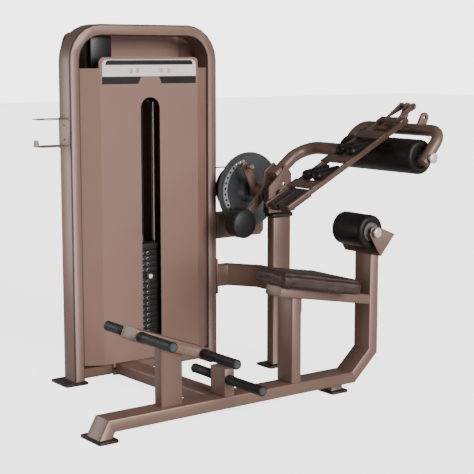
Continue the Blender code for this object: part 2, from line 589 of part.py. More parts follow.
cam = [(bore, STACK_Y - 0.020), (CAM_RADIUS + 0.006, STACK_Y - 0.020), (CAM_RADIUS + 0.006, STACK_Y - 0.016),
       (CAM_RADIUS, STACK_Y - 0.0155), (CAM_RADIUS, STACK_Y + 0.0155), (CAM_RADIUS + 0.006, STACK_Y + 0.016),
       (CAM_RADIUS + 0.006, STACK_Y + 0.020), (bore, STACK_Y + 0.020)]
add("cam_drum", turned(cam, PIVOT, 40), BLACK_STEEL, arm_axis)

# --- Arm -----------------------------------------------------------------------------------------

# The arm tube lies on a line that passes the pivot above and to the left.
RISE = radians(37.7)
ALONG, ACROSS = Vector((cos(RISE), 0, sin(RISE))), Vector((sin(RISE), 0, -cos(RISE)))
FOOT = Vector((PIVOT_X, 0, PIVOT_Z)) - ACROSS * 0.057
BRACKET_START, BRACKET_END = 0.045, 0.085


def on_arm(s, t):
    place = FOOT + ALONG * s + ACROSS * t
    return (place.x, place.z)


def by_pivot(x, z):
    return (PIVOT_X + x, PIVOT_Z + z)


front_plate = [by_pivot(-0.058, -0.084), by_pivot(0.093, -0.080), by_pivot(0.093, 0.026), by_pivot(0.070, 0.052),
               on_arm(0.110, 0.029), on_arm(0.110, -0.029), by_pivot(0.019, 0.103), by_pivot(-0.058, 0.034)]
inner_y = [PLATE_FRONT + ARM_PLATE / 2, PLATE_BACK - ARM_PLATE / 2]
arm_bracket = add("arm_bracket", prism(front_plate, "xz", inner_y[0] - ARM_PLATE, inner_y[0], 0.0012), BRONZE, arm_axis)
back_plate = arc(PIVOT_X, PIVOT_Z, 0.044, radians(130), radians(390), 12)
back_plate += [on_arm(0.110, 0.029), on_arm(0.110, -0.029), on_arm(BRACKET_START, -0.034)]
weld(arm_bracket, prism(back_plate, "xz", inner_y[1], inner_y[1] + ARM_PLATE),
     prism([on_arm(BRACKET_START, -0.0285), on_arm(BRACKET_START, 0.0285), on_arm(BRACKET_END, 0.0285),
            on_arm(BRACKET_END, -0.0285)], "xz", inner_y[0] - 0.002, inner_y[1] + 0.002))
hole_x, hole_z = by_pivot(0.027, 0.046)
cut(arm_bracket, cylinder(AXLE_RADIUS + RUN, -0.3, -0.1, PIVOT, 24),
    cylinder(0.007, -0.3, -0.262, (hole_x, 0, hole_z), 14))

LEG_Y = (ROLLER_Y[0] - YOKE_RADIUS - 0.004, ROLLER_Y[1] + YOKE_RADIUS + 0.004)
ARM_END = LEG_Y[1] + YOKE_RADIUS + GAP
start = on_arm(BRACKET_END + GAP, 0)
knee = on_arm(0.185, 0)
path = fillet([(start[0], POST_Y, start[1]), (knee[0], POST_Y, knee[1]), (ROLLER_X, POST_Y, ROLLER_Z),
               (ROLLER_X, ARM_END, ROLLER_Z)], 0.075, 5)
add("arm_tube", sweep(path, circle(ARM_RADIUS, 28), ACROSS, last=(0, 1, 0)), BRONZE, arm_axis)

lean = Vector((YOKE_X - ROLLER_X, 0, YOKE_Z - ROLLER_Z)).normalized()
foot_x, foot_z = ROLLER_X - lean.x * 0.030, ROLLER_Z - lean.z * 0.030
path = fillet([(foot_x, LEG_Y[1], foot_z), (YOKE_X, LEG_Y[1], YOKE_Z), (YOKE_X, LEG_Y[0], YOKE_Z),
               (foot_x, LEG_Y[0], foot_z)], 0.060, 5)
yoke = add("roller_yoke", sweep(path, circle(YOKE_RADIUS, 28), (0, 1, 0)), BRONZE, arm_axis)
PIN_RADIUS = 0.006


def lug(x, z, radius, half_foot):
    """Outline of a lug that stands on the yoke's bar, round about a hole at x and z."""
    tip = atan2(z - YOKE_Z, x - YOKE_X)
    side = Vector((-sin(tip), cos(tip))) * half_foot
    outline = arc(x, z, radius, tip + pi / 2, tip - pi / 2, 8)
    outline += [(YOKE_X - side.x, YOKE_Z - side.y), (YOKE_X + side.x, YOKE_Z + side.y)]
    return outline[::-1]


weld(yoke, prism(lug(HINGE_X, HINGE_Z, 0.016, 0.021), "xz", HARNESS_Y - 0.006, HARNESS_Y + 0.006))
cut(yoke, cylinder(PIN_RADIUS + GAP, HARNESS_Y - 0.05, HARNESS_Y + 0.05, (HINGE_X, 0, HINGE_Z), 14))
# A second lug with an open hole stands beside the harness.
STOP_X, STOP_Z, STOP_Y = YOKE_X + 0.026, YOKE_Z + 0.052, HARNESS_Y - 0.122
weld(yoke, prism(lug(STOP_X, STOP_Z, 0.021, 0.023), "xz", STOP_Y - 0.006, STOP_Y + 0.006))
cut(yoke, cylinder(0.008, STOP_Y - 0.02, STOP_Y + 0.02, (STOP_X, 0, STOP_Z), 14))
AXLE_END = LEG_Y[0] - YOKE_RADIUS - GAP
BAR = 0.012
cut(yoke, cylinder(BAR + GAP, LEG_Y[0] - 0.05, LEG_Y[1] + 0.05, (ROLLER_X, 0, ROLLER_Z), 16))

roller_bar = add("upper_roller_axle", cylinder(BAR, AXLE_END - 0.002, ARM_END - GAP, (ROLLER_X, 0, ROLLER_Z), 16),
                 BRIGHT_STEEL, arm_axis)
weld(roller_bar, cylinder(0.018, AXLE_END - 0.013, AXLE_END, (ROLLER_X, 0, ROLLER_Z), 24, rim=0.002))


def roller(name, x, z, ends, radius, core, recess, bar, parent):
    """A foam roller on its core tube, with a hub recessed into each end."""
    low, high = ends
    wall = [(bar + RUN, low + recess), (core, low + recess), (core, low), (radius - 0.008, low),
            (radius, low + 0.008), (radius, high - 0.008), (radius - 0.008, high), (core, high),
            (core, high - recess), (bar + RUN, high - recess)]
    return add(name, turned(wall, (x, 0, z), 28), VINYL, parent)


roller("upper_roller", ROLLER_X, ROLLER_Z, ROLLER_Y, ROLLER_RADIUS, ROLLER_CORE, 0.018, BAR, roller_axis)

# Counterweight on its bar, welded to a sleeve that the back plate of the bracket is welded to
SLEEVE_Y = (inner_y[1] + ARM_PLATE + GAP, -0.094)
WEIGHT = Vector((PIVOT_X - 0.130, 0, PIVOT_Z - 0.135))
WEIGHT_RADIUS = 0.066
reach = Vector((WEIGHT.x - PIVOT_X, WEIGHT.z - PIVOT_Z))
heading = reach.normalized()
wide = Vector((-heading.y, heading.x)) * 0.017
hub = Vector((PIVOT_X, PIVOT_Z))
counter = add("counterweight_bar", ring(AXLE_RADIUS + RUN, AXLE_RADIUS + 0.0115, *SLEEVE_Y, PIVOT, 24), BRONZE, arm_axis)
near, far = hub + heading * (AXLE_RADIUS + 0.0055), hub + heading * (reach.length - 0.020)
weld(counter, prism([tuple(near - wide), tuple(near + wide), tuple(far + wide), tuple(far - wide)], "xz",
                    SLEEVE_Y[0] + 0.014, SLEEVE_Y[0] + 0.034))
cut(counter, cylinder(WEIGHT_RADIUS + GAP, -0.25, -0.05, tuple(WEIGHT), 32))
add("counterweight", cylinder(WEIGHT_RADIUS, -0.195, -0.127, tuple(WEIGHT), 32, rim=0.003), BLACK_STEEL, arm_axis)

# A plate welded to the same sleeve carries the pull pin to the disc's ring of holes
pin = Vector((PIVOT_X + DISC_HOLE_RADIUS * cos(PIN_ANGLE), 0, PIVOT_Z + DISC_HOLE_RADIUS * sin(PIN_ANGLE)))
heading = Vector((cos(PIN_ANGLE), sin(PIN_ANGLE)))
wide = Vector((-heading.y, heading.x))
base, end = hub + heading * (AXLE_RADIUS + 0.0035), hub + heading * DISC_HOLE_RADIUS
carrier_y = (-0.116, -0.106)
outline = [tuple(base + wide * 0.026), tuple(base - wide * 0.026)]
outline += arc(end.x, end.y, 0.016, PIN_ANGLE - pi / 2, PIN_ANGLE + pi / 2, 8)
weld(counter, prism(outline, "xz", *carrier_y), cylinder(0.012, -0.128, -0.086, tuple(pin), 18))
cut(counter, cylinder(0.0055 + RUN, -0.15, -0.05, tuple(pin), 12))
# It is drawn here with its tip just clear of the disc, and it slides in by PULL_TRAVEL to lock.
knob_back = -0.128 - PULL_TRAVEL - 0.0005
pull = add("pull_pin", cylinder(0.0055, knob_back - 0.010, DISC_Y - 0.001, tuple(pin), 12, rim=0.001), BRIGHT_STEEL,
           arm_axis)
weld(pull, cylinder(0.014, knob_back - 0.026, knob_back, tuple(pin), 18, rim=0.003))

# --- Harness -------------------------------------------------------------------------------------

DOWN = Vector((-cos(HARNESS_SLOPE), -sin(HARNESS_SLOPE)))
OVER = Vector((-sin(HARNESS_SLOPE), cos(HARNESS_SLOPE)))


def on_harness(s, n):
    place = Vector((HINGE_X, HINGE_Z)) + DOWN * s + OVER * n
    return (place.x, place.y)


def slab(s, n, y):
    """A bar of the harness between two values of s, of n and of y."""
    outline = [on_harness(s[0], n[0]), on_harness(s[1], n[0]), on_harness(s[1], n[1]), on_harness(s[0], n[1])]
    return prism(outline, "xz", *y)


RAIL_N = (-0.028, -0.007)
RAIL_TOP = -0.0075
harness = add("harness_frame", slab((0.085, HARNESS_END), RAIL_N, (HARNESS_Y - RAIL_SPREAD - 0.007,
                                                                     HARNESS_Y - RAIL_SPREAD + 0.007)),
              BRONZE, harness_axis)
weld(harness, slab((0.085, HARNESS_END), RAIL_N, (HARNESS_Y + RAIL_SPREAD - 0.007, HARNESS_Y + RAIL_SPREAD + 0.007)))
for s in HARNESS_PLATES:
    weld(harness, slab((s - 0.028, s + 0.028), (RAIL_TOP - 0.001, RAIL_TOP + 0.005),
                       (HARNESS_Y - RAIL_SPREAD - 0.012, HARNESS_Y + RAIL_SPREAD + 0.012)))
weld(harness, slab((0.092, 0.130), (RAIL_TOP - 0.001, RAIL_TOP + 0.005),
                   (HARNESS_Y - RAIL_SPREAD - 0.005, HARNESS_Y + RAIL_SPREAD + 0.005)))
for y in (HARNESS_Y - 0.035, HARNESS_Y + 0.035):
    ear = arc(HINGE_X, HINGE_Z, 0.015, HARNESS_SLOPE - pi / 2, HARNESS_SLOPE + pi / 2, 8)
    ear += [on_harness(0.125, RAIL_TOP + 0.004), on_harness(0.125, RAIL_TOP + 0.001), on_harness(0.092, RAIL_TOP + 0.001)]
    weld(harness, prism(ear, "xz", y - 0.004, y + 0.004))
cut(harness, cylinder(PIN_RADIUS + RUN, HARNESS_Y - 0.06, HARNESS_Y + 0.06, (HINGE_X, 0, HINGE_Z), 14))
add("harness_pin", cylinder(PIN_RADIUS, HARNESS_Y - 0.046, HARNESS_Y + 0.046, (HINGE_X, 0, HINGE_Z), 14, rim=0.001),
    BRIGHT_STEEL, arm_axis)


# Each padded lobe is thin where it goes under its upper plate, and thick and proud of the rails at its
# lower end: half its width, half its height, and the height of its middle over the hinge line.
LOBE_UPPER, LOBE_LOWER = (0.0210, 0.0110, -0.0190), (0.0270, 0.0270, 0.0020)
LOBE_Y = 0.0330
LOBE_SIDES, LOBE_RINGS = 14, 8


def padded_lobe(s, centre_y):
    """A padded roll along the harness between two values of s, with round ends."""
    bm = bmesh.new()
    rings = []
    for step in range(LOBE_RINGS):
        angle = -pi / 2 + pi * (step + 0.5) / LOBE_RINGS
        half_width, half_height, n = LOBE_LOWER if angle > 0 else LOBE_UPPER
        along = (s[1] - half_width if angle > 0 else s[0] + half_width) + half_width * sin(angle)
        loop = []
        for k in range(LOBE_SIDES):
            turn = 2 * pi * k / LOBE_SIDES
            x, z = on_harness(along, n + half_height * cos(angle) * sin(turn))
            loop.append(bm.verts.new((x, centre_y + half_width * cos(angle) * cos(turn), z)))
        rings.append(loop)
    for a, b in zip(rings, rings[1:]):
        for i in range(LOBE_SIDES):
            j = (i + 1) % LOBE_SIDES
            bm.faces.new((a[i], a[j], b[j], b[i]))
    bm.faces.new(rings[0][::-1])
    bm.faces.new(rings[-1])
    return bm


for level, (a, b) in zip(("upper", "lower"), zip(HARNESS_PLATES, HARNESS_PLATES[1:])):
    span = (a + 0.030, b - 0.030)
    pair = add(f"harness_pad_{level}", padded_lobe(span, HARNESS_Y - LOBE_Y), VINYL, harness_axis)
    weld(pair, padded_lobe(span, HARNESS_Y + LOBE_Y),
         slab((span[0] + 0.022, span[0] + 0.060), (-0.0235, -0.0165), (HARNESS_Y - LOBE_Y, HARNESS_Y + LOBE_Y)))
grip = add("harness_grip", slab((HARNESS_PLATES[2] + 0.029, HARNESS_END - 0.004), (-0.040, -0.009),
                                (HARNESS_Y - RAIL_SPREAD + 0.0075, HARNESS_Y + RAIL_SPREAD - 0.0075)),
           DARK_BRONZE, harness_axis)
cut(grip, slab((HARNESS_PLATES[2] + 0.05, HARNESS_END + 0.01), (-0.05, 0.01), (HARNESS_Y - 0.005, HARNESS_Y + 0.005)))

# --- Base ------------------------------------------------------------------------------------------

HALF_TUBE = TUBE_FACE / 2


def path_corner(outer, into, out):
    """Where a tube's centre line turns, from the outer corner of its bend and its two directions."""
    left_in, left_out = Vector((-into.y, into.x)), Vector((-out.y, out.x))
    both = left_in + left_out
    return Vector(outer) + both * (HALF_TUBE / (1 + left_in.dot(left_out)))


level = Vector((1, 0))
upright = Vector((0, 1))
knee_way = Vector((REAR_X - KNEE_X, KNEE_Z - RAIL_LOW)).normalized()
turn_low = path_corner((KNEE_X, RAIL_LOW), level, knee_way)
turn_high = path_corner((REAR_X, KNEE_Z), knee_way, upright)
mitre = (level + knee_way).normalized()


def in_base(p):
    return (p[0], FRONT_Y, p[1])


rail_y = (RAIL_LOW + RAIL_HIGH) / 2
BASE_FRONT = PIVOT_X - 1.257
rail = add("base_rail", sweep([in_base((BASE_FRONT + 0.040, 0.006)), in_base((BASE_FRONT + 0.069, rail_y)),
                               in_base(turn_low - level * GAP)], TUBE, (0, 0, 1), first=(0, 0, 1),
                              last=(mitre.x, 0, mitre.y)), BRONZE)
plate, bores = foot_plate((BASE_FRONT, BASE_FRONT + 0.086), (FRONT_Y - 0.075, FRONT_Y + 0.075),
                          [(BASE_FRONT + 0.022, FRONT_Y - 0.060), (BASE_FRONT + 0.022, FRONT_Y + 0.060)])
weld(rail, plate)
cut(rail, *bores)
plate, bores = foot_plate((KNEE_X - 0.132, KNEE_X - 0.042), (FRONT_Y - 0.055, FRONT_Y + 0.055), [])
weld(rail, plate, block((KNEE_X - 0.117, KNEE_X - 0.057), (FRONT_Y - 0.030, FRONT_Y + 0.030), (FOOT_THICK / 2, RAIL_LOW + 0.004)))

# The lumbar bracket's plate leans against the top of the rear post.
LUMBAR_LOW, LUMBAR_HIGH = Vector((REAR_X - 0.053, 0.584)), Vector((REAR_X + 0.024, 0.671))
lean_way = (LUMBAR_HIGH - LUMBAR_LOW).normalized()
lean_out = Vector((lean_way.y, -lean_way.x))
BRACKET_SHEET = 0.006
seat_on = LUMBAR_LOW + lean_out * (BRACKET_SHEET + GAP)
top_z = seat_on.y + (turn_high.x - seat_on.x) * lean_way.y / lean_way.x
add("rear_post", sweep([in_base(turn_low + knee_way * GAP), in_base(turn_high), in_base((turn_high.x, top_z))],
                       TUBE, (-mitre.y, 0, mitre.x), first=(mitre.x, 0, mitre.y), last=(-lean_out.x, 0, -lean_out.y)),
    BRONZE)

LINK_X = PIVOT_X - 0.655  # beside the second upright
link_end = -GAP
link = add("base_link", sweep([(LINK_X, link_end - 0.004, sum(CROSSBAR) / 2), (LINK_X, FRONT_Y + TUBE_DEPTH / 2 + GAP, rail_y)],
                              rounded_rect(TUBE_DEPTH, TUBE_FACE, TUBE_CORNER), (1, 0, 0), last=(0, 1, 0)), BRONZE)
weld(link, block((LINK_X - 0.062, LINK_X + 0.062), (link_end - 0.008, link_end), (CROSSBAR[0] - 0.004, CROSSBAR[1] + 0.004)))

# --- Seat --------------------------------------------------------------------------------------------

SEAT_WAY = Vector((cos(SEAT_SLOPE), 0, -sin(SEAT_SLOPE)))
SEAT_UP = Vector((sin(SEAT_SLOPE), 0, cos(SEAT_SLOPE)))


def on_seat(s, y, n):
    return SEAT_START + SEAT_WAY * s + Vector((0, FRONT_Y + y, 0)) + SEAT_UP * n


rear_face = turn_high.x - HALF_TUBE - GAP
rail_start = on_seat(0, 0, -SEAT_RAIL / 2)
rail_end = rail_start + SEAT_WAY * ((rear_face - rail_start.x) / SEAT_WAY.x)
add("seat_rail", sweep([rail_start, rail_end], rounded_rect(SEAT_RAIL, TUBE_DEPTH, TUBE_CORNER), SEAT_UP,
                       last=(1, 0, 0)), BRONZE)
SEAT_POST_X = SEAT_START.x + 0.0805
under = on_seat(0, 0, -SEAT_RAIL - GAP)
post_top = under + SEAT_WAY * ((SEAT_POST_X - under.x) / SEAT_WAY.x)
add("seat_post", sweep([(SEAT_POST_X, FRONT_Y, RAIL_HIGH + GAP), (SEAT_POST_X, FRONT_Y, post_top.z)], TUBE,
                       (1, 0, 0), last=tuple(SEAT_UP)), BRONZE)


def seat_slab(outline, n, rim):
    """An outline in s and y on the seat rail, between two heights over it."""
    bm = bmesh.new()
    low = [bm.verts.new(on_seat(s, y, n[0])) for s, y in outline]
    face = bm.faces.new(low)
    moved = bmesh.ops.extrude_face_region(bm, geom=[face])["geom"]
    verts = [v for v in moved if isinstance(v, bmesh.types.BMVert)]
    bmesh.ops.translate(bm, verts=verts, vec=SEAT_UP * (n[1] - n[0]))
    top = {e for v in verts for e in v.link_edges if all(w in verts for w in e.verts)}
    bmesh.ops.bevel(bm, geom=list(top), offset=rim, segments=2, affect="EDGES")
    return bm


def round_outline(corners, radii, steps=4):
    """A closed outline whose corners are arcs."""
    outline = []
    for i, here in enumerate(corners):
        before, after = Vector(corners[i - 1]), Vector(corners[(i + 1) % len(corners)])
        here = Vector(here)
        path = fillet([(*before, 0), (*here, 0), (*after, 0)], radii[i], steps)
        outline += [(p.x, p.y) for p in path[1:-1]]
    return outline


PAD_FRONT, PAD_REAR = -0.042, 0.345
FRONT_HALF, REAR_HALF = 0.102, 0.178
BASE_TOP = GAP + 0.006
add("seat_base", seat_slab([(0.004, -0.085), (0.310, -0.120), (0.310, 0.120), (0.004, 0.085)], (GAP, BASE_TOP), 0.001),
    BLACK_STEEL)
pad = round_outline([(PAD_FRONT, -FRONT_HALF), (PAD_REAR, -REAR_HALF), (PAD_REAR, REAR_HALF), (PAD_FRONT, FRONT_HALF)],
                    [0.020, 0.030, 0.030, 0.020])
add("seat_pad", seat_slab(pad, (BASE_TOP + GAP, BASE_TOP + PAD_THICK), 0.012), VINYL)

# --- Lumbar roller -------------------------------------------------------------------------------------

EAR_Y = (LUMBAR_Y[0] - 0.022, LUMBAR_Y[1] + 0.022)
bracket = add("lumbar_bracket", prism([tuple(LUMBAR_LOW), tuple(LUMBAR_LOW + lean_out * BRACKET_SHEET),
                                       tuple(LUMBAR_HIGH + lean_out * BRACKET_SHEET), tuple(LUMBAR_HIGH)],
                                      "xz", EAR_Y[0], EAR_Y[1]), DARK_BRONZE)
ear = [(LUMBAR_X - 0.027, LUMBAR_Z - 0.011), (LUMBAR_X - 0.021, LUMBAR_Z + 0.017), (LUMBAR_X - 0.003, LUMBAR_Z + 0.026),
       (LUMBAR_X + 0.021, LUMBAR_Z + 0.021), tuple(LUMBAR_HIGH + lean_out * 0.002),
       tuple(LUMBAR_LOW + lean_out * 0.002)]
weld(bracket, prism(ear, "xz", EAR_Y[0], EAR_Y[0] + 0.006), prism(ear, "xz", EAR_Y[1] - 0.006, EAR_Y[1]))
LUMBAR_BAR = 0.010
cut(bracket, cylinder(LUMBAR_BAR + GAP, -0.95, -0.55, (LUMBAR_X, 0, LUMBAR_Z), 14))
axle = add("lumbar_axle", cylinder(LUMBAR_BAR, EAR_Y[0] - 0.002, EAR_Y[1] + 0.006, (LUMBAR_X, 0, LUMBAR_Z), 14),
           BRIGHT_STEEL)
weld(axle, cylinder(0.017, EAR_Y[0] - 0.014, EAR_Y[0] - GAP, (LUMBAR_X, 0, LUMBAR_Z), 24, rim=0.002))
roller("lumbar_roller", LUMBAR_X, LUMBAR_Z, LUMBAR_Y, LUMBAR_RADIUS, 0.040, 0.004, LUMBAR_BAR, lumbar_axis)

# --- Foot pegs -------------------------------------------------------------------------------------------

PEG_SLOPE = radians(20.3)
PEG_WAY, PEG_UP = Vector((cos(PEG_SLOPE), 0, -sin(PEG_SLOPE))), Vector((sin(PEG_SLOPE), 0, cos(PEG_SLOPE)))
PEG_START = Vector((SEAT_START.x - 0.692, FRONT_Y, 0.3875))
PEG_BEAM = 0.355
peg_frame = add("peg_frame", sweep([PEG_START, PEG_START + PEG_WAY * PEG_BEAM], TUBE, PEG_UP), BRONZE)
UPRIGHT_X, SECOND_UPRIGHT = SEAT_START.x - 0.517, SEAT_START.x - 0.2605
meet = PEG_START + PEG_WAY * ((UPRIGHT_X - PEG_START.x) / PEG_WAY.x)
weld(peg_frame, sweep([(UPRIGHT_X, FRONT_Y, RAIL_HIGH + GAP), (UPRIGHT_X, FRONT_Y, meet.z)],
                      rounded_rect(TUBE_DEPTH, TUBE_FACE, TUBE_CORNER), (1, 0, 0), last=tuple(PEG_UP)))
UPRIGHT_TOP = 0.195
second = add("second_upright", sweep([(SECOND_UPRIGHT, FRONT_Y, RAIL_HIGH + GAP),
                                      (SECOND_UPRIGHT, FRONT_Y, UPRIGHT_TOP)], TUBE, (1, 0, 0)), BRONZE)
PEG_NEAR, PEG_FAR = -1.005, -0.545
SIDE = TUBE_DEPTH / 2 + 0.004
places = (("upper_peg", PEG_START + PEG_WAY * 0.020, peg_frame), ("middle_peg", PEG_START + PEG_WAY * 0.325, peg_frame),
          ("lower_peg", Vector((SECOND_UPRIGHT - 0.006, FRONT_Y, 0.152)), second))
for name, place, holder in places:
    centre = (place.x, 0, place.z)
    weld(holder, cylinder(PEG_CORE, PEG_NEAR + 0.006, PEG_FAR - 0.006, centre, 16))
    for hand, (a, b) in (("near", (PEG_NEAR, FRONT_Y - SIDE)), ("far", (FRONT_Y + SIDE, PEG_FAR))):
        inner = PEG_CORE + GAP
        if hand == "near":
            cup = [(0, a), (PEG_RADIUS - 0.003, a), (PEG_RADIUS, a + 0.003), (PEG_RADIUS, b), (inner, b),
                   (inner, a + 0.006 - GAP), (0, a + 0.006 - GAP)]
        else:
            cup = [(0, b - 0.006 + GAP), (inner, b - 0.006 + GAP), (inner, a), (PEG_RADIUS, a),
                   (PEG_RADIUS, b - 0.003), (PEG_RADIUS - 0.003, b), (0, b)]
        add(f"{name}_grip_{hand}", turned(cup, centre, 20), RUBBER)
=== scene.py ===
import json
from math import cos, pi, radians, sin

import bpy
from mathutils import Matrix, Vector


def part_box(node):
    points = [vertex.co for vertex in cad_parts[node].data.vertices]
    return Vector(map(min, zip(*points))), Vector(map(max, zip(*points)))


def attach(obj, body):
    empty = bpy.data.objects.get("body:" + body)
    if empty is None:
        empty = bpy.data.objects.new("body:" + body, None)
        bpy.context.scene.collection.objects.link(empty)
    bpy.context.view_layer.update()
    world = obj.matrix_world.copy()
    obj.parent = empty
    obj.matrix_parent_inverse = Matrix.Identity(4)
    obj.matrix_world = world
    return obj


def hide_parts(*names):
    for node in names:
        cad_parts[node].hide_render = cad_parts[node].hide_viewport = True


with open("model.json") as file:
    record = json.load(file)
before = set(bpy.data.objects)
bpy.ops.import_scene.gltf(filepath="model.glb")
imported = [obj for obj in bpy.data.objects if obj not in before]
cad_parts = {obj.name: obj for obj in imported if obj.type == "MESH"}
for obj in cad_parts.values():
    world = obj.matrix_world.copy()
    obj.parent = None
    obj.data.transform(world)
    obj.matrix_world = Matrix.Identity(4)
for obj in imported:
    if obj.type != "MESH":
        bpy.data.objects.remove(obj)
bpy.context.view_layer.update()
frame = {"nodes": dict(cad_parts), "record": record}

# --- Tower loop -----------------------------------------------------------------------------------
# One loop of rectangular steel tube, bent at the two upper corners and welded to foot plates.
# It is powder coated a satin metallic bronze, the foot plates are a darker coat, and the rounded corners
# carry painted shade.

BRONZE, DARK = (0.235, 0.142, 0.110), (0.036, 0.023, 0.019)
record = frame["record"]
BODY_OF = {node: body for body, nodes in record["behaviour"]["bodies"].items() for node in nodes}
SLOT_OF = {row["node"]: row["material_slot"] for row in record["subparts"]}


def link(material, source, target):
    material.node_tree.links.new(source, target)


def noise(material, scale, detail=3.0, stretch=(1, 1, 1)):
    """A noise over the piece's own coordinates, stretched along an axis where it is brushed."""
    nodes = material.node_tree.nodes
    place, mapping = nodes.new("ShaderNodeTexCoord"), nodes.new("ShaderNodeMapping")
    mapping.inputs["Scale"].default_value = stretch
    texture = nodes.new("ShaderNodeTexNoise")
    texture.inputs["Scale"].default_value = scale
    texture.inputs["Detail"].default_value = detail
    link(material, place.outputs["Object"], mapping.inputs["Vector"])
    link(material, mapping.outputs["Vector"], texture.inputs["Vector"])
    return texture.outputs["Fac"]


def ramp(material, factor, stops):
    """Colours or greys at places along a factor."""
    node = material.node_tree.nodes.new("ShaderNodeValToRGB")
    band = node.color_ramp
    while len(band.elements) < len(stops):
        band.elements.new(0.5)
    for element, (place, colour) in zip(band.elements, stops):
        element.position = place
        element.color = (*colour, 1) if hasattr(colour, "__len__") else (colour, colour, colour, 1)
    link(material, factor, node.inputs["Fac"])
    return node.outputs["Color"]


def bump(material, height, strength, depth):
    node = material.node_tree.nodes.new("ShaderNodeBump")
    node.inputs["Strength"].default_value = strength
    node.inputs["Distance"].default_value = depth
    link(material, height, node.inputs["Height"])
    link(material, node.outputs["Normal"], material.node_tree.nodes["Principled BSDF"].inputs["Normal"])


def shade(colour, by):
    return tuple(min(1.0, c * by) for c in colour)


def powder_coat(name, colour, rough=0.42, metal=0.35):
    """Metallic powder coat: slow drift in tone, fine flakes, and an orange-peel skin."""
    coat = bpy.data.materials.new(name)
    coat.use_nodes = True
    shader = coat.node_tree.nodes["Principled BSDF"]
    shader.inputs["Metallic"].default_value = metal
    shader.inputs["Coat Weight"].default_value = 0.18
    shader.inputs["Coat Roughness"].default_value = 0.28
    drift, flake = noise(coat, 2.2, 2.0), noise(coat, 900, 1.0)
    mixed = coat.node_tree.nodes.new("ShaderNodeMath")
    mixed.operation = "MULTIPLY_ADD"
    flake_share = 0.35
    mixed.inputs[1].default_value = flake_share
    link(coat, flake, mixed.inputs[0])
    link(coat, drift, mixed.inputs[2])
    link(coat, ramp(coat, mixed.outputs[0], [(0.35, shade(colour, 0.90)), (0.95, shade(colour, 1.10))]),
         shader.inputs["Base Color"])
    link(coat, ramp(coat, flake, [(0.3, rough - 0.05), (0.7, rough + 0.07)]), shader.inputs["Roughness"])
    bump(coat, noise(coat, 420, 2.0), 0.10, 0.0004)
    return coat


bronze_coat = powder_coat("bronze_coat", BRONZE)
dark_coat = powder_coat("dark_coat", DARK, 0.45, 0.25)


def pick(piece):
    if bpy.context.object and bpy.context.object.mode != "OBJECT":
        bpy.ops.object.mode_set(mode="OBJECT")
    bpy.ops.object.select_all(action="DESELECT")
    piece.select_set(True)
    bpy.context.view_layer.objects.active = piece


def settle(piece):
    """Puts a piece's place, turn and size into its mesh."""
    pick(piece)
    bpy.ops.object.transform_apply(location=True, rotation=True, scale=True)


def finish_piece(piece, name, material, body, slot, *nodes, angle=35):
    """Smooth round faces, one material, and the body that the piece moves with."""
    settle(piece)
    piece.name = piece.data.name = name
    piece.data.materials.clear()
    piece.data.materials.append(material)
    bpy.ops.object.shade_smooth_by_angle(angle=radians(angle))
    if nodes:
        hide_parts(*nodes)
    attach(piece, body)
    return piece


MERGE, FINE_MERGE = 0.00002, 0.00001
FLAT_TURN, EDGE_TURN = radians(0.4), radians(38)


def dressed(node, material, edge=0.0012, second=None, below=None, angle=35):
    """A copy of a solid with its loose triangles joined and its sharp edges rounded.
    Faces under the height below take the second material."""
    source = frame["nodes"][node]
    piece = bpy.data.objects.new(f"fine_{node}", source.data.copy())
    bpy.context.collection.objects.link(piece)
    pick(piece)
    bpy.ops.mesh.customdata_custom_splitnormals_clear()
    bpy.ops.object.mode_set(mode="EDIT")
    bpy.ops.mesh.select_all(action="SELECT")
    bpy.ops.mesh.remove_doubles(threshold=MERGE)
    bpy.ops.mesh.dissolve_limited(angle_limit=FLAT_TURN)
    bpy.ops.object.mode_set(mode="OBJECT")
    if edge:
        rounding = piece.modifiers.new("rounding", "BEVEL")
        rounding.width = edge
        rounding.segments = 2
        rounding.limit_method = "ANGLE"
        rounding.angle_limit = EDGE_TURN
        bpy.ops.object.modifier_apply(modifier="rounding")
    finish_piece(piece, f"fine_{node}", material, BODY_OF[node], SLOT_OF[node], node, angle=angle)
    if second:
        piece.data.materials.append(second)
        for face in piece.data.polygons:
            if face.center.z < below:
                face.material_index = 1
    return piece


FOOT_TOP = 0.0115
CORNER_SHADE_LEAST, CORNER_SHADE_MOST = 0.25, 0.97
tower = dressed("tower_frame", bronze_coat, 0.0012, dark_coat, FOOT_TOP)
# Painted shade: the rounded edges along the loop's front and back faces take a much darker coat.
tower.data.materials.append(powder_coat("corner_painted_shade", shade(BRONZE, 0.22), 0.5, 0.2))
for face in tower.data.polygons:
    if face.center.z > FOOT_TOP and CORNER_SHADE_LEAST < abs(face.normal.y) < CORNER_SHADE_MOST:
        face.material_index = 2


def turned_bar(profile, place, way, segments=32):
    """A turned piece: (radius, distance) pairs spun round a line from place along way."""
    mesh = bpy.data.meshes.new("turned")
    mesh.from_pydata([(r, 0, d) for r, d in profile], [(i, i + 1) for i in range(len(profile) - 1)], [])
    piece = bpy.data.objects.new("turned", mesh)
    bpy.context.collection.objects.link(piece)
    pick(piece)
    bpy.ops.object.mode_set(mode="EDIT")
    bpy.ops.mesh.select_all(action="SELECT")
    bpy.ops.mesh.spin(steps=segments, angle=2 * pi, center=(0, 0, 0), axis=(0, 0, 1))
    bpy.ops.mesh.select_all(action="SELECT")
    bpy.ops.mesh.remove_doubles(threshold=FINE_MERGE)
    bpy.ops.mesh.normals_make_consistent(inside=False)
    bpy.ops.object.mode_set(mode="OBJECT")
    turn = Vector(way).to_track_quat("Z", "Y").to_matrix().to_4x4()
    piece.matrix_world = Matrix.Translation(Vector(place)) @ turn
    settle(piece)
    return piece


def joined(pieces, name, material, body, slot, *nodes, angle=35):
    """Several loose pieces made one, and finished."""
    pick(pieces[0])
    for piece in pieces[1:]:
        piece.select_set(True)
    if len(pieces) > 1:
        bpy.ops.object.join()
    return finish_piece(bpy.context.object, name, material, body, slot, *nodes, angle=angle)


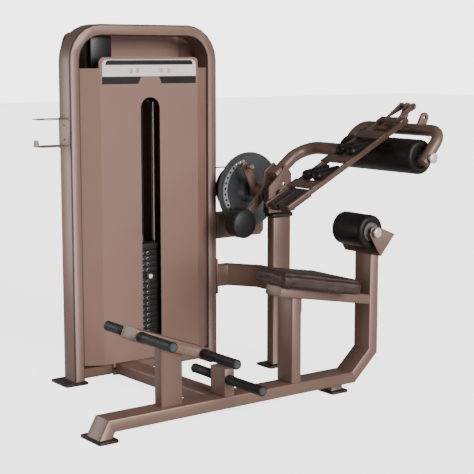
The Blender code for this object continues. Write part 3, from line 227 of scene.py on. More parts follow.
def bolt_head(place, way, size=0.008):
    """A hexagon head on its washer, with the head's corners chamfered."""
    washer = turned_bar([(0, 0), (size * 1.5, 0), (size * 1.5, size * 0.16), (size * 1.38, size * 0.24),
                         (0, size * 0.24)], place, way, 20)
    head = turned_bar([(0, 0), (size, 0), (size, size * 0.62), (size * 0.82, size * 0.78), (0, size * 0.78)],
                      Vector(place) + Vector(way).normalized() * size * 0.24, way, 6)
    pick(washer)
    head.select_set(True)
    bpy.ops.object.join()
    return bpy.context.object


def steel(name, colour, rough=0.28, stretch=(1, 1, 60), metal=1.0):
    """Machined or plated steel with fine tool lines along one axis."""
    bare = bpy.data.materials.new(name)
    bare.use_nodes = True
    shader = bare.node_tree.nodes["Principled BSDF"]
    shader.inputs["Metallic"].default_value = metal
    lines = noise(bare, 90, 4.0, stretch)
    link(bare, ramp(bare, lines, [(0.3, shade(colour, 0.84)), (0.7, shade(colour, 1.12))]),
         shader.inputs["Base Color"])
    link(bare, ramp(bare, lines, [(0.3, rough - 0.07), (0.7, rough + 0.10)]), shader.inputs["Roughness"])
    bump(bare, lines, 0.08, 0.0003)
    return bare


black_zinc = steel("black_zinc", (0.035, 0.032, 0.032), 0.40, (1, 1, 1), 0.6)

# --- Shrouds and placard --------------------------------------------------------------------------
# The shrouds are 3 mm sheet with folded flanks, screwed inside the loop, front and rear.
# The placard is a printed pale sheet with plain black bands. It carries no lettering.

sheet_coat = powder_coat("sheet_coat", (0.275, 0.155, 0.120), 0.50, 0.20)
dressed("front_shroud", sheet_coat, 0.0006, angle=12)
# The rear shroud's paler coat is painted light: it brightens the rear sheet, which lies in shade inside the
# loop.
dressed("rear_shroud", powder_coat("rear_sheet_painted_light", (0.300, 0.175, 0.138), 0.52, 0.20), 0.0006, angle=12)


def slab(x, y, z, name, edge, segments=3):
    """A flat block whose edges are rounded, from two values of x, y and z."""
    bpy.ops.object.select_all(action="DESELECT")
    bpy.ops.mesh.primitive_cube_add(size=1, location=(sum(x) / 2, sum(y) / 2, sum(z) / 2))
    piece = bpy.context.object
    piece.scale = (x[1] - x[0], y[1] - y[0], z[1] - z[0])
    settle(piece)
    if edge:
        rounding = piece.modifiers.new("rounding", "BEVEL")
        rounding.width = edge
        rounding.segments = segments
        bpy.ops.object.modifier_apply(modifier="rounding")
    piece.name = name
    return piece


def plate_xz(outline, y, name):
    """A thin plate that faces -Y, from an outline in x and z, extruded between two values of y."""
    mesh = bpy.data.meshes.new(name)
    mesh.from_pydata([(a, y[0], b) for a, b in outline], [], [tuple(range(len(outline)))])
    piece = bpy.data.objects.new(name, mesh)
    bpy.context.collection.objects.link(piece)
    pick(piece)
    bpy.ops.object.mode_set(mode="EDIT")
    bpy.ops.mesh.select_all(action="SELECT")
    bpy.ops.mesh.extrude_region_move(TRANSFORM_OT_translate={"value": (0, y[1] - y[0], 0)})
    bpy.ops.mesh.select_all(action="SELECT")
    bpy.ops.mesh.normals_make_consistent(inside=False)
    bpy.ops.object.mode_set(mode="OBJECT")
    return piece


def rounded(x, z, radii, steps=5):
    """Outline of a rectangle whose corners have their own radii, from lower right round to the right."""
    outline = []
    corners = ((x[1], z[0], -90), (x[1], z[1], 0), (x[0], z[1], 90), (x[0], z[0], 180))
    for (cx, cz, start), r in zip(corners, radii):
        sx, sz = (1 if cx == x[1] else -1), (1 if cz == z[1] else -1)
        for i in range(steps + 1 if r else 1):
            angle = radians(start + 90 * i / steps)
            outline.append((cx - sx * r + r * cos(angle), cz - sz * r + r * sin(angle)))
    return outline


def satin(name, colour, rough=0.4, grain=700, depth=0.10):
    """Printed or moulded plastic with a fine even grain."""
    plastic = bpy.data.materials.new(name)
    plastic.use_nodes = True
    shader = plastic.node_tree.nodes["Principled BSDF"]
    tone = noise(plastic, 12, 3.0)
    link(plastic, ramp(plastic, tone, [(0.3, shade(colour, 0.93)), (0.7, shade(colour, 1.05))]),
         shader.inputs["Base Color"])
    link(plastic, ramp(plastic, noise(plastic, 60, 3.0), [(0.3, rough - 0.05), (0.7, rough + 0.08)]),
         shader.inputs["Roughness"])
    bump(plastic, noise(plastic, grain, 2.0), depth, 0.0003)
    return plastic


low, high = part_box("info_placard")
HEADER_BAND, FOOT_BAND_LENGTH, FOOT_BAND_SLOPE = 0.023, 0.180, 0.014
HEADER_INSET, HEADER_DROP, HEADER_CORNER = 0.016, 0.003, 0.016
PLACARD_CORNER, SHEET_BACK, BAND_BACK, BAND_GAP = 0.024, 0.0006, 0.0004, 0.002
BLANK_HALF, BLANK_CORNER, BLANK_FOOT, BLANK_TOP = 0.009, 0.004, 0.014, 0.034
BAND_THICK, BLANK_BACK, FOOT_STRIP = 0.0008, 0.0003, 0.032
pale = satin("placard_pale", (0.93, 0.82, 0.78), 0.35)
band_black = satin("placard_black", (0.0035, 0.0033, 0.0033), 0.35)
pale_foot = low.z + FOOT_STRIP
sheet_outline = rounded((low.x, high.x), (pale_foot, high.z), (0.001, PLACARD_CORNER, PLACARD_CORNER, 0.001))
sheet = plate_xz(sheet_outline, (low.y + SHEET_BACK, high.y), "placard_sheet")
joined([sheet], "placard_sheet", pale, "frame", "placard_sheet", "info_placard")
band_top = pale_foot - BAND_GAP
left_end, right_start = low.x + FOOT_BAND_LENGTH, high.x - FOOT_BAND_LENGTH
lower_left = [(low.x, band_top), (low.x, low.z), (left_end, low.z), (left_end + FOOT_BAND_SLOPE, band_top)]
lower_right = [(high.x - FOOT_BAND_LENGTH - FOOT_BAND_SLOPE, band_top), (right_start, low.z), (high.x, low.z),
               (high.x, band_top)]
header = rounded((low.x + HEADER_INSET, high.x - HEADER_INSET), (high.z - HEADER_BAND, high.z - HEADER_DROP),
                 (0, HEADER_CORNER, HEADER_CORNER, 0))
band_depth = (low.y + BAND_BACK, high.y)
bands = [plate_xz(lower_left[::-1], band_depth, "band_left"),
         plate_xz(lower_right[::-1], band_depth, "band_right"),
         plate_xz(header, (low.y, low.y + BAND_THICK), "band_header")]
joined(bands, "placard_bands", band_black, "frame", "placard_sheet")
blanks = []
for share in (0.30, 0.365, 0.62, 0.70):
    middle = low.x + (high.x - low.x) * share
    blank = rounded((middle - BLANK_HALF, middle + BLANK_HALF),
                    (pale_foot + BLANK_FOOT, pale_foot + BLANK_TOP), (BLANK_CORNER,) * 4)
    blanks.append(plate_xz(blank, (low.y + BLANK_BACK, low.y + BAND_THICK), "blank"))
joined(blanks, "placard_blanks", satin("placard_grey", (0.52, 0.49, 0.47)), "frame", "placard_sheet")

# --- Bottle holder --------------------------------------------------------------------------------
# One strip of coated sheet steel, bent into a ring over a tray with a lip.
# Two screws hold it to the side of the left post.

dressed("bottle_holder", bronze_coat, 0.0006)
HOLDER_FACE, HOLDER_Y, SCREW_HEIGHTS = -0.9425, 0.282, (1.066, 1.122)
holder_screws = [bolt_head((HOLDER_FACE, HOLDER_Y, z), (-1, 0, 0), 0.0055) for z in SCREW_HEIGHTS]
screw_steel = steel("holder_screw", (0.42, 0.27, 0.21), 0.35, (1, 1, 1), 0.8)
joined(holder_screws, "holder_screws", screw_steel, "frame", "bronze_paint")

# --- Weight stack ---------------------------------------------------------------------------------
# Black steel plates with a column of selector holes, on two bright ground rods over rubber buffers.
# A selector pin with a pale knob goes through one hole into the drilled stem.

iron = steel("plate_black", (0.020, 0.018, 0.018), 0.46, (1, 1, 6), 0.35)
dressed("resting_weight_plates", iron, 0.0006)
dressed("lifted_weight_plates", iron, 0.0006)
dressed("stack_head_plate", iron, 0.0008)
rod_steel = steel("rod_chrome", (0.80, 0.76, 0.74), 0.16, (1, 1, 0.02))
ROD_CHAMFER = 0.001
for side in ("left", "right"):
    low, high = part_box(f"guide_rod_{side}")
    middle, r, length = (low + high) / 2, (high.x - low.x) / 2, high.z - low.z
    rod = turned_bar([(0, 0), (r - ROD_CHAMFER, 0), (r, ROD_CHAMFER), (r, length - ROD_CHAMFER),
                      (r - ROD_CHAMFER, length), (0, length)], (middle.x, middle.y, low.z), (0, 0, 1), 40)
    finish_piece(rod, f"rod_{side}", rod_steel, "frame", "bright_steel", f"guide_rod_{side}")


def moulded_rubber(name, colour=(0.016, 0.016, 0.017), rough=0.62, grain=260, depth=0.35):
    """Matt rubber with a mould grain."""
    rubber = bpy.data.materials.new(name)
    rubber.use_nodes = True
    shader = rubber.node_tree.nodes["Principled BSDF"]
    shader.inputs["Specular IOR Level"].default_value = 0.4
    tone = noise(rubber, 18, 4.0)
    link(rubber, ramp(rubber, tone, [(0.3, shade(colour, 0.8)), (0.7, shade(colour, 1.35))]),
         shader.inputs["Base Color"])
    link(rubber, ramp(rubber, noise(rubber, 70, 4.0), [(0.3, rough - 0.08), (0.7, rough + 0.12)]),
         shader.inputs["Roughness"])
    bump(rubber, noise(rubber, grain, 5.0), depth, 0.0006)
    return rubber


black_rubber = moulded_rubber("black_rubber")
for side in ("left", "right"):
    dressed(f"stack_buffer_{side}", black_rubber, 0.002)
PITCH, STACK_X, STACK_FACE = 0.0255, -0.5605, 0.2320
STACK_FOOT, RESTING, LIFTED = 0.1753, 10, 5
HOLE_RADIUS, RIM_INNER, RIM_OUTER = 0.0055, 0.0056, 0.0078
MARK_NEAR, MARK_FAR, MARK_HALF = 0.040, 0.022, 0.003
# The near-black of the selector holes is painted shade for the dark inside of each hole.
hole_painted_shade = satin("hole_painted_shade", (0.004, 0.004, 0.004), 0.7)
rim_steel = steel("hole_rim", (0.30, 0.28, 0.27), 0.35, (1, 1, 1))


def selector_hole(z):
    """A near-black disc of painted shade that stands for a hole drilled in a plate's edge."""
    return turned_bar([(0, 0), (HOLE_RADIUS, 0), (HOLE_RADIUS, 0.0005), (0, 0.0005)],
                      (STACK_X, STACK_FACE + 0.0002, z), (0, -1, 0), 20)


def selector_rim(z):
    """The bright countersunk rim round a hole."""
    return turned_bar([(RIM_INNER, 0), (RIM_OUTER, 0), (RIM_OUTER, 0.0005), (RIM_INNER, 0.0009),
                       (RIM_INNER, 0)], (STACK_X, STACK_FACE + 0.0002, z), (0, -1, 0), 20)


for body, first, last in (("frame", 0, RESTING), ("stack", RESTING + 1, RESTING + LIFTED)):
    levels = [STACK_FOOT + (i + 0.5) * PITCH for i in range(first, last)]
    joined([selector_hole(z) for z in levels], f"selector_holes_{body}", hole_painted_shade, body, "black_iron")
    joined([selector_rim(z) for z in levels], f"selector_rims_{body}", rim_steel, body, "black_iron")
    marks = [slab((STACK_X - MARK_NEAR, STACK_X - MARK_FAR), (STACK_FACE - 0.0006, STACK_FACE),
                  (z - MARK_HALF, z + MARK_HALF), "mark", 0.0002, 1) for z in levels]
    joined(marks, f"plate_marks_{body}", satin(f"plate_mark_{body}", (0.17, 0.16, 0.155)), body, "black_iron")
pin_low, pin_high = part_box("selector_pin")
knob = turned_bar([(0, 0), (0.0085, 0), (0.0105, 0.002), (0.0105, 0.006), (0.0088, 0.010), (0.0095, 0.017),
                   (0.0075, 0.022), (0.005, 0.023), (0.005, 0.080), (0.0035, 0.082), (0, 0.082)],
                  (STACK_X, pin_low.y, (pin_low.z + pin_high.z) / 2), (0, 1, 0), 28)
finish_piece(knob, "selector_knob", satin("knob_white", (0.86, 0.84, 0.82), 0.3), "selector", "bright_steel",
             "selector_pin")

# --- Belt drive -----------------------------------------------------------------------------------
# A flat rubber belt goes from the stack's stem over three nylon pulleys to the cam.
# Two turn on a black steel carrier that hangs in the loop's top, and one on a lower bracket.

carrier_coat = powder_coat("carrier_coat", (0.0045, 0.0045, 0.0048), 0.42, 0.2)
nylon = satin("black_nylon", (0.02, 0.02, 0.022), 0.42)
for node in ("pulley_carrier", "lower_pulley_bracket"):
    dressed(node, carrier_coat, 0.0008)
for node in ("top_centre_pulley", "top_side_pulley", "lower_side_pulley"):
    dressed(node, nylon, 0.0005)
dressed("lift_belt", moulded_rubber("belt_rubber", (0.02, 0.02, 0.021), 0.6, 500, 0.2), 0.0003)

# --- Pivot post, shelf and bearings ---------------------------------------------------------------
# The post is rectangular tube welded to a drilled foot plate, with a dark cast cap for the bearing.
# A short beam from the tower, under the cam, carries the rear bearing.

dressed("pivot_post", bronze_coat, 0.0012, dark_coat, FOOT_TOP)
dressed("pivot_shelf", bronze_coat, 0.0012)
for node in ("pivot_post_cap", "pivot_bearing", "rear_bearing"):
    dressed(node, dark_coat, 0.0010)
CAP_BOLT = (0.026, 0, 0.7246)
joined([bolt_head(CAP_BOLT, (0, 0, 1), 0.0050)], "bearing_bolt", black_zinc, "frame", "dark_bronze_paint")

# --- Beams ----------------------------------------------------------------------------------------
# Rectangular steel tubes, coated like the loop, that tie the post and the base to the tower.
# Each is bolted through a flange welded to its end.

for node in ("rear_link_beam", "front_link_beam", "base_link"):
    dressed(node, bronze_coat, 0.0012)
FLANGE_FACE, FLANGE_ROWS, FLANGE_HEIGHTS = -0.1737, (0.250, 0.314), (0.327, 0.469)
flange_bolts = [bolt_head((FLANGE_FACE, y, z), (1, 0, 0), 0.0065)
                for y in FLANGE_ROWS for z in FLANGE_HEIGHTS]
joined(flange_bolts, "flange_bolts", black_zinc, "frame", "bronze_paint")
LINK_FACE, LINK_COLUMNS, LINK_HEIGHT = 0.2237, (-0.7455, -0.6325), 0.045
link_bolts = [bolt_head((x, LINK_FACE, LINK_HEIGHT), (0, -1, 0), 0.0048) for x in LINK_COLUMNS]
joined(link_bolts, "link_bolts", black_zinc, "frame", "bronze_paint")

# --- Disc, cam and axle ---------------------------------------------------------------------------
# A dished, enamelled steel disc with an arc of start holes in a bright ground band.
# It turns with the belt cam on one axle.

PIVOT = Vector((-0.034, 0, 0.800))
disc_steel = powder_coat("disc_enamel", (0.105, 0.112, 0.116), 0.27, 0.55)
dressed("range_disc", disc_steel, 0.0006)
dressed("cam_drum", carrier_coat, 0.0008)
axle_steel = steel("axle_steel", (0.10, 0.09, 0.088), 0.32, (1, 0.05, 1))
dressed("pivot_axle", axle_steel, 0)
HOLE_RING, START_HOLE, BAND_HALF = 0.137, 0.0060, 0.013
BAND_START, BAND_END, HOLE_STEP = radians(100), radians(214), 11
CAM_Y, DISC_OFFSET = 0.232, 0.052
DISH = ((0.060, 0.010), (0.118, 0.004), (0.171, -0.004))
BAND_PROUD, BAND_ACROSS = 0.0007, 5


def disc_face(r):
    """Depth of the dish's near face at a radius."""
    for (r0, y0), (r1, y1) in zip(DISH, DISH[1:]):
        if r <= r1:
            return CAM_Y - DISC_OFFSET + y0 + (y1 - y0) * (r - r0) / (r1 - r0)
    return CAM_Y - DISC_OFFSET + DISH[-1][1]


def disc_band(inner, outer, start, end, holes, hole_radius, steps=72):
    """A thin arc plate lying on the dish, with round ends, cut by the start holes."""
    middle, half = (inner + outer) / 2, (outer - inner) / 2
    rows = []
    for i in range(steps + 1):
        angle = start + (end - start) * i / steps
        edge = min((angle - start), (end - angle)) * middle
        width = half if edge >= half else (half ** 2 - (half - edge) ** 2) ** 0.5
        width *= 0.55 + 0.45 * min(1, (i / steps) * 1.6)
        row = []
        for j in range(BAND_ACROSS):
            r = middle - width + 2 * width * j / (BAND_ACROSS - 1)
            row.append((PIVOT.x + r * cos(angle), disc_face(r) - BAND_PROUD, PIVOT.z + r * sin(angle)))
        rows.append(row)
    verts = [v for row in rows for v in row]
    corners = [i * BAND_ACROSS + j for i in range(steps) for j in range(BAND_ACROSS - 1)]
    faces = [(c, c + 1, c + BAND_ACROSS + 1, c + BAND_ACROSS) for c in corners]
    mesh = bpy.data.meshes.new("disc_band")
    mesh.from_pydata(verts, [], faces)
    piece = bpy.data.objects.new("disc_band", mesh)
    bpy.context.collection.objects.link(piece)
    pick(piece)
    bpy.ops.object.mode_set(mode="EDIT")
    bpy.ops.mesh.select_all(action="SELECT")
    bpy.ops.mesh.remove_doubles(threshold=FINE_MERGE)
    bpy.ops.mesh.normals_make_consistent(inside=False)
    bpy.ops.object.mode_set(mode="OBJECT")
    wall = piece.modifiers.new("wall", "SOLIDIFY")
    wall.thickness = 0.0012
    wall.offset = 0
    bpy.ops.object.modifier_apply(modifier="wall")
    for angle in holes:
        bpy.ops.object.select_all(action="DESELECT")
        centre = (PIVOT.x + HOLE_RING * cos(angle), disc_face(HOLE_RING), PIVOT.z + HOLE_RING * sin(angle))
        bpy.ops.mesh.primitive_cylinder_add(vertices=20, radius=hole_radius, depth=0.05, location=centre,
                                            rotation=(pi / 2, 0, 0))
        cutter = bpy.context.object
        pick(piece)
        hole = piece.modifiers.new("hole", "BOOLEAN")
        hole.operation = "DIFFERENCE"
        hole.solver = "EXACT"
        hole.object = cutter
        bpy.ops.object.modifier_apply(modifier="hole")
        bpy.data.objects.remove(cutter, do_unlink=True)
    return piece


start_holes = [radians(120 + HOLE_STEP * step) for step in range(-1, 9)]
band_piece = disc_band(HOLE_RING - BAND_HALF, HOLE_RING + BAND_HALF, BAND_START, BAND_END, start_holes,
                       START_HOLE)
ground_steel = steel("ground_steel", (0.42, 0.43, 0.44), 0.34, (1, 1, 1), 0.35)
finish_piece(band_piece, "start_band", ground_steel, "cam", "grey_steel")

# --- Arm and counterweight ------------------------------------------------------------------------
# The arm is round bent tube welded between two plates that ride on the axle. A round iron weight
# balances it, and a sprung pull pin sets where it starts.

for node in ("arm_bracket", "arm_tube", "roller_yoke", "counterweight_bar"):
    dressed(node, bronze_coat, 0.0010)
weight_coat = powder_coat("weight_coat", (0.0085, 0.009, 0.0095), 0.55, 0.10)
low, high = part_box("counterweight")
r, depth = (high.x - low.x) / 2, high.y - low.y
weight = turned_bar([(0, 0), (r - 0.012, 0), (r - 0.010, 0.0012), (r - 0.004, 0.0012), (r, 0.005),
                     (r, depth - 0.004), (r - 0.004, depth), (0, depth)],
                    ((low.x + high.x) / 2, low.y, (low.z + high.z) / 2), (0, 1, 0), 64)
finish_piece(weight, "counterweight_disc", weight_coat, "arm", "black_iron", "counterweight")
# The caps are plated steel, but their pale pinkish colour with little metal is partly painted reflection.
plated_cap_painted_reflection = steel("plated_cap_painted_reflection", (0.88, 0.74, 0.70), 0.30, (1, 1, 1), 0.25)


def end_cap(name, centre_x, face_y, centre_z, r, body, slot):
    """A domed cap screwed on a bar's near end."""
    cap = turned_bar([(0, 0), (r - 0.002, 0), (r, 0.001), (r, 0.005), (r * 0.86, 0.0075), (r * 0.5, 0.009),
                      (0, 0.0094)], (centre_x, face_y, centre_z), (0, -1, 0), 40)
    return finish_piece(cap, name, plated_cap_painted_reflection, body, slot)


low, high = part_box("pivot_axle")
RING_BORE, RING_RADIUS, RING_THICK = 0.007, 0.0165, 0.0012
socket = turned_bar([(RING_BORE, 0), (RING_RADIUS, 0), (RING_RADIUS, RING_THICK), (RING_BORE, RING_THICK),
                     (RING_BORE, 0)], (PIVOT.x, low.y, PIVOT.z), (0, -1, 0), 32)
finish_piece(socket, "axle_face_ring", plated_cap_painted_reflection, "cam", "grey_steel")
end_cap("axle_cap", PIVOT.x, low.y, PIVOT.z, 0.0200, "cam", "grey_steel")
low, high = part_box("pull_pin")
x, z, length = (low.x + high.x) / 2, (low.z + high.z) / 2, high.y - low.y
pin = turned_bar([(0, 0), (0.010, 0), (0.0135, 0.003), (0.014, 0.008), (0.0125, 0.013), (0.0135, 0.018),
                  (0.0135, 0.023), (0.010, 0.0258), (0.0055, 0.026), (0.0055, length - 0.002),
                  (0.004, length), (0, length)],
                 (x, low.y, z), (0, 1, 0), 32)
brass = steel("pin_plate", (0.46, 0.33, 0.25), 0.30, (1, 1, 1))
finish_piece(pin, "start_pin", brass, "pin", "bright_steel", "pull_pin")

# --- Rollers --------------------------------------------------------------------------------------
# Each roller is closed-cell foam under dark vinyl, on a steel core with a spoked hub recessed in
# each end. The bars' near ends carry plated caps, their pale pinkish tone partly painted reflection.


def vinyl(name, colour=(0.026, 0.017, 0.015), rough=0.42, grain=480, depth=0.30):
    """Upholstery vinyl: leather grain from cells, with a soft sheen that wears paler."""
    skin = bpy.data.materials.new(name)
    skin.use_nodes = True
    shader = skin.node_tree.nodes["Principled BSDF"]
    shader.inputs["Specular IOR Level"].default_value = 0.28
    cells = skin.node_tree.nodes.new("ShaderNodeTexVoronoi")
    cells.inputs["Scale"].default_value = grain
    place = skin.node_tree.nodes.new("ShaderNodeTexCoord")
    link(skin, place.outputs["Object"], cells.inputs["Vector"])
    link(skin, ramp(skin, noise(skin, 14, 4.0), [(0.3, shade(colour, 0.80)), (0.72, shade(colour, 1.35))]),
         shader.inputs["Base Color"])
    link(skin, ramp(skin, noise(skin, 55, 4.0), [(0.3, rough - 0.06), (0.7, rough + 0.10)]),
         shader.inputs["Roughness"])
    bump(skin, cells.outputs["Distance"], depth, 0.0006)
    return skin


roller_vinyl = vinyl("roller_vinyl", (0.013, 0.0085, 0.0075), 0.40)


def roller(node, body, core, recess, bar, hub):
    """A vinyl cover with rolled ends, and a plain hub ring round the bar, recessed in each end."""
    low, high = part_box(node)
    middle, r, span = (low + high) / 2, (high.z - low.z) / 2, high.y - low.y
    skin = turned_bar([(core, recess + 0.001), (core, 0.004), (core + 0.003, 0.001), (r - 0.016, 0.0),
                       (r - 0.007, 0.003), (r - 0.001, 0.010), (r, 0.018), (r, span - 0.018),
                       (r - 0.001, span - 0.010), (r - 0.007, span - 0.003), (r - 0.016, span),
                       (core + 0.003, span - 0.001), (core, span - 0.004), (core, span - recess - 0.001),
                       (core, recess + 0.001)], (middle.x, low.y, middle.z), (0, 1, 0), 72)
    finish_piece(skin, f"{node}_cover", roller_vinyl, body, "brown_vinyl", node)
    for end, way, where in (("near", 1, low.y), ("far", -1, high.y)):
        face = turned_bar([(bar, recess), (bar, recess - 0.003), (bar + 0.006, recess - 0.003),
                           (bar + 0.008, recess - 0.001), (core - 0.006, recess - 0.0005),
                           (core - 0.004, recess - 0.0030), (core - 0.0006, recess - 0.0030),
                           (core - 0.0006, recess + 0.002), (bar, recess + 0.002), (bar, recess)],
                          (middle.x, where, middle.z), (0, way, 0), 48)
        finish_piece(face, f"{node}_hub_{end}", hub, body, "brown_vinyl")


roller("upper_roller", "back_roller", 0.045, 0.018, 0.0132, satin("hub_black", (0.010, 0.010, 0.011), 0.4))
roller("lumbar_roller", "hip_roller", 0.040, 0.004, 0.0112, satin("hub_grey", (0.16, 0.15, 0.15), 0.35))
bar_steel = steel("bar_steel", (0.50, 0.47, 0.46), 0.24, (1, 0.05, 1))
dressed("upper_roller_axle", bar_steel, 0)
dressed("lumbar_axle", bar_steel, 0)
dressed("harness_pin", bar_steel, 0)
dressed("lumbar_bracket", bronze_coat, 0.0008)
CAP_SINK, UPPER_BAR, LUMBAR_BAR = 0.0005, (0.173, 1.000), (0.026, 0.685)
low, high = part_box("upper_roller_axle")
end_cap("upper_bar_cap", UPPER_BAR[0], low.y + CAP_SINK, UPPER_BAR[1], 0.0215, "arm", "bright_steel")
low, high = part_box("lumbar_axle")
end_cap("lumbar_bar_cap", LUMBAR_BAR[0], low.y + CAP_SINK, LUMBAR_BAR[1], 0.0200, "frame", "bright_steel")

# --- Harness --------------------------------------------------------------------------------------
# Two flat rails joined by cross plates, with pairs of upholstered lobes between them and a box grip
# at the free end. It folds up on a pin through the yoke's lug.

dressed("harness_frame", powder_coat("harness_coat", (0.150, 0.086, 0.066), 0.36, 0.45), 0.0007)
dressed("harness_grip", powder_coat("grip_coat", (0.030, 0.019, 0.016), 0.34, 0.3), 0.0010)


LAST_FRAME = 20


def swollen(node, name, material, body, slot, voxel, pressure, most, shrink):
    """Upholstery: a slightly smaller copy is blown up like stuffed vinyl, then capped and smoothed."""
    source = frame["nodes"][node]
    piece = bpy.data.objects.new(name, source.data.copy())
    bpy.context.collection.objects.link(piece)
    pick(piece)
    bpy.ops.mesh.customdata_custom_splitnormals_clear()
    bpy.ops.object.mode_set(mode="EDIT")
    bpy.ops.mesh.select_all(action="SELECT")
    bpy.ops.mesh.remove_doubles(threshold=MERGE)
    bpy.ops.transform.shrink_fatten(value=-shrink)
    bpy.ops.object.mode_set(mode="OBJECT")
    piece.data.remesh_voxel_size = voxel
    bpy.ops.object.voxel_remesh()
    before = [v.co.copy() for v in piece.data.vertices]
    cloth = piece.modifiers.new("cover", "CLOTH")
    cloth.settings.use_pressure = True
    cloth.settings.uniform_pressure_force = pressure
    cloth.settings.effector_weights.gravity = 0
    cloth.point_cache.frame_start, cloth.point_cache.frame_end = 1, LAST_FRAME
    for number in range(1, LAST_FRAME + 1):
        bpy.context.scene.frame_set(number)
    pick(piece)
    bpy.ops.object.modifier_apply(modifier="cover")
    for vertex, start in zip(piece.data.vertices, before):
        move = vertex.co - start
        if move.length > most:
            vertex.co = start + move.normalized() * most
    bpy.context.scene.frame_set(1)
    smooth = piece.modifiers.new("smooth", "SMOOTH")
    smooth.factor, smooth.iterations = 0.5, 4
    bpy.ops.object.modifier_apply(modifier="smooth")
    finer = piece.modifiers.new("finer", "SUBSURF")
    finer.levels = finer.render_levels = 1
    bpy.ops.object.modifier_apply(modifier="finer")
    finish_piece(piece, name, material, body, slot, node, angle=60)


lobe_vinyl = vinyl("lobe_vinyl", (0.010, 0.008, 0.0075), 0.34)
for level in ("upper", "lower"):
    swollen(f"harness_pad_{level}", f"harness_lobes_{level}", lobe_vinyl, "harness", "brown_vinyl",
            voxel=0.004, pressure=3.0, most=0.003, shrink=0.0018)

# --- Base -----------------------------------------------------------------------------------------
# A rail of rectangular steel tube that slants down to its front foot plate and bends up into the
# rear post. The seat's post and the pegs' two uprights stand on it.

for node in ("base_rail", "rear_post", "second_upright"):
    dressed(node, bronze_coat, 0.0012, dark_coat, FOOT_TOP)
for node in ("seat_rail", "seat_post", "peg_frame"):
    dressed(node, bronze_coat, 0.0012)

# --- Seat -----------------------------------------------------------------------------------------
# A trapezoid pad of foam on a board, under dark brown vinyl.
# It is screwed to a black steel plate on the tilted seat rail.

dressed("seat_base", carrier_coat, 0.0008)
swollen("seat_pad", "seat_cushion", vinyl("seat_vinyl", (0.052, 0.030, 0.024), 0.40), "frame", "brown_vinyl",
        voxel=0.005, pressure=4.0, most=0.006, shrink=0.003)

# --- Foot pegs ------------------------------------------------------------------------------------
# Rubber sleeves pushed over the round peg bars, with moulded rings at the inner end and a closed
# outer end that shows a paler disc.

end_face = moulded_rubber("grip_end", (0.060, 0.062, 0.066), 0.55, 200, 0.2)
grip_rubber = moulded_rubber("grip_rubber", (0.010, 0.0115, 0.013), 0.52)
RINGS, RING_PITCH, RINGED_LENGTH, GROOVE = 4, 0.0072, 0.030, 0.0016
SLEEVE_BORE, SLEEVE_END = 0.0130, 0.0058
for name in ("upper", "middle", "lower"):
    for hand in ("near", "far"):
        node = f"{name}_peg_grip_{hand}"
        low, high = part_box(node)
        middle, r, span = (low + high) / 2, (high.z - low.z) / 2, high.y - low.y
        way, start = (1, low.y) if hand == "near" else (-1, high.y)
        profile = [(0, 0), (r - 0.005, 0), (r - 0.0015, 0.0015), (r, 0.005)]
        flat = span - RINGED_LENGTH
        profile += [(r - 0.0008, 0.010), (r - 0.0012, flat)]
        for ring in range(RINGS):
            at = flat + ring * RING_PITCH
            profile += [(r, at + 0.0012), (r, at + 0.0042), (r - GROOVE, at + 0.0052),
                        (r - GROOVE, at + 0.0070)]
        profile += [(r, span), (SLEEVE_BORE, span), (SLEEVE_BORE, SLEEVE_END), (0, SLEEVE_END)]
        sleeve = turned_bar(profile, (middle.x, start, middle.z), (0, way, 0), 48)
        finish_piece(sleeve, f"{name}_sleeve_{hand}", grip_rubber, "frame", "black_rubber", node, angle=30)
        disc = turned_bar([(0, 0.0008), (r - 0.007, 0.0004), (r - 0.006, -0.0002), (0, -0.0004)],
                          (middle.x, start, middle.z), (0, way, 0), 40)
        finish_piece(disc, f"{name}_sleeve_end_{hand}", end_face, "frame", "black_rubber")

# --- Floor, light and camera ----------------------------------------------------------------------
# A pale floor, a broad key light from the front, a softbox on the left, and a dim white sky.
# The floor and the backdrop are brightened for what the camera sees directly, not as light.

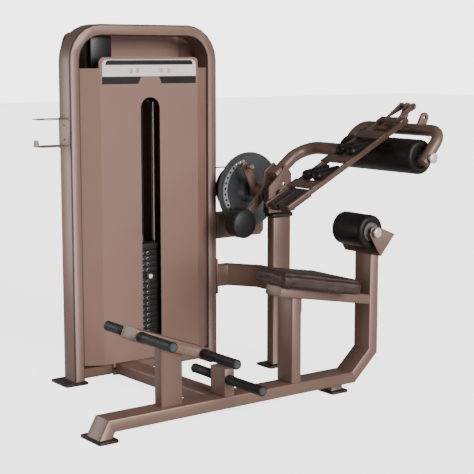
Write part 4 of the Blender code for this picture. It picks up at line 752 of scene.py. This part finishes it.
FLOOR_GLOW, SKY_LIGHT, BACKDROP_GLOW = 2.6, 0.17, 4.0
bpy.ops.object.select_all(action="DESELECT")
bpy.ops.mesh.primitive_plane_add(size=60, location=(0, 0, -0.0005))
floor = bpy.context.object
floor.name = "floor"
floor_paint = satin("floor_paint", (0.95, 0.95, 0.95), 0.75, 60, 0.02)
floor.data.materials.append(floor_paint)
shader, tree = floor_paint.node_tree.nodes["Principled BSDF"], floor_paint.node_tree
seen, glow = tree.nodes.new("ShaderNodeLightPath"), tree.nodes.new("ShaderNodeMath")
glow.operation = "MULTIPLY"
glow.inputs[1].default_value = FLOOR_GLOW
shader.inputs["Emission Color"].default_value = (1, 1, 1, 1)
tree.links.new(seen.outputs["Is Camera Ray"], glow.inputs[0])
tree.links.new(glow.outputs["Value"], shader.inputs["Emission Strength"])
world = bpy.data.worlds.new("studio")
bpy.context.scene.world = world
world.use_nodes = True
sky = world.node_tree.nodes["Background"]
sky.inputs["Strength"].default_value = SKY_LIGHT
backdrop = world.node_tree.nodes.new("ShaderNodeBackground")
backdrop.inputs["Strength"].default_value = BACKDROP_GLOW
seen = world.node_tree.nodes.new("ShaderNodeLightPath")
either = world.node_tree.nodes.new("ShaderNodeMixShader")
for shader in (sky, backdrop):
    shader.inputs["Color"].default_value = (1, 1, 1, 1)
links = world.node_tree.links
links.new(seen.outputs["Is Camera Ray"], either.inputs["Fac"])
links.new(sky.outputs["Background"], either.inputs[1])
links.new(backdrop.outputs["Background"], either.inputs[2])
links.new(either.outputs["Shader"], world.node_tree.nodes["World Output"].inputs["Surface"])


def softbox(name, place, aim, width, power):
    """A square lamp at a place, facing a point."""
    lamp = bpy.data.lights.new(name, "AREA")
    lamp.shape, lamp.size, lamp.energy = "SQUARE", width, power
    box = bpy.data.objects.new(name, lamp)
    box.location = place
    box.rotation_euler = (Vector(aim) - Vector(place)).to_track_quat("-Z", "Y").to_euler()
    bpy.context.collection.objects.link(box)


softbox("side", (-1.9, 0.95, 1.05), (-0.94, 0.28, 0.85), 1.1, 13)
key = bpy.data.lights.new("key", "SUN")
key.energy, key.angle = 3.4, radians(38)
KEY_WAY = Vector((-0.06, 0.94, -0.30))
key_lamp = bpy.data.objects.new("key", key)
key_lamp.rotation_euler = KEY_WAY.to_track_quat("-Z", "Y").to_euler()
bpy.context.collection.objects.link(key_lamp)

TURN, RISE, STAND = radians(-36.62), radians(8.32), (-3.5051, -4.3961, 1.4174)
camera = bpy.data.objects.new("camera", bpy.data.cameras.new("camera"))
camera.data.lens, camera.data.sensor_width = 94.34, 36
camera.location = STAND
back = Vector((sin(TURN) * cos(RISE), -cos(TURN) * cos(RISE), sin(RISE)))
camera.rotation_euler = (-back).to_track_quat("-Z", "Y").to_euler()
bpy.context.collection.objects.link(camera)
bpy.context.scene.camera = camera
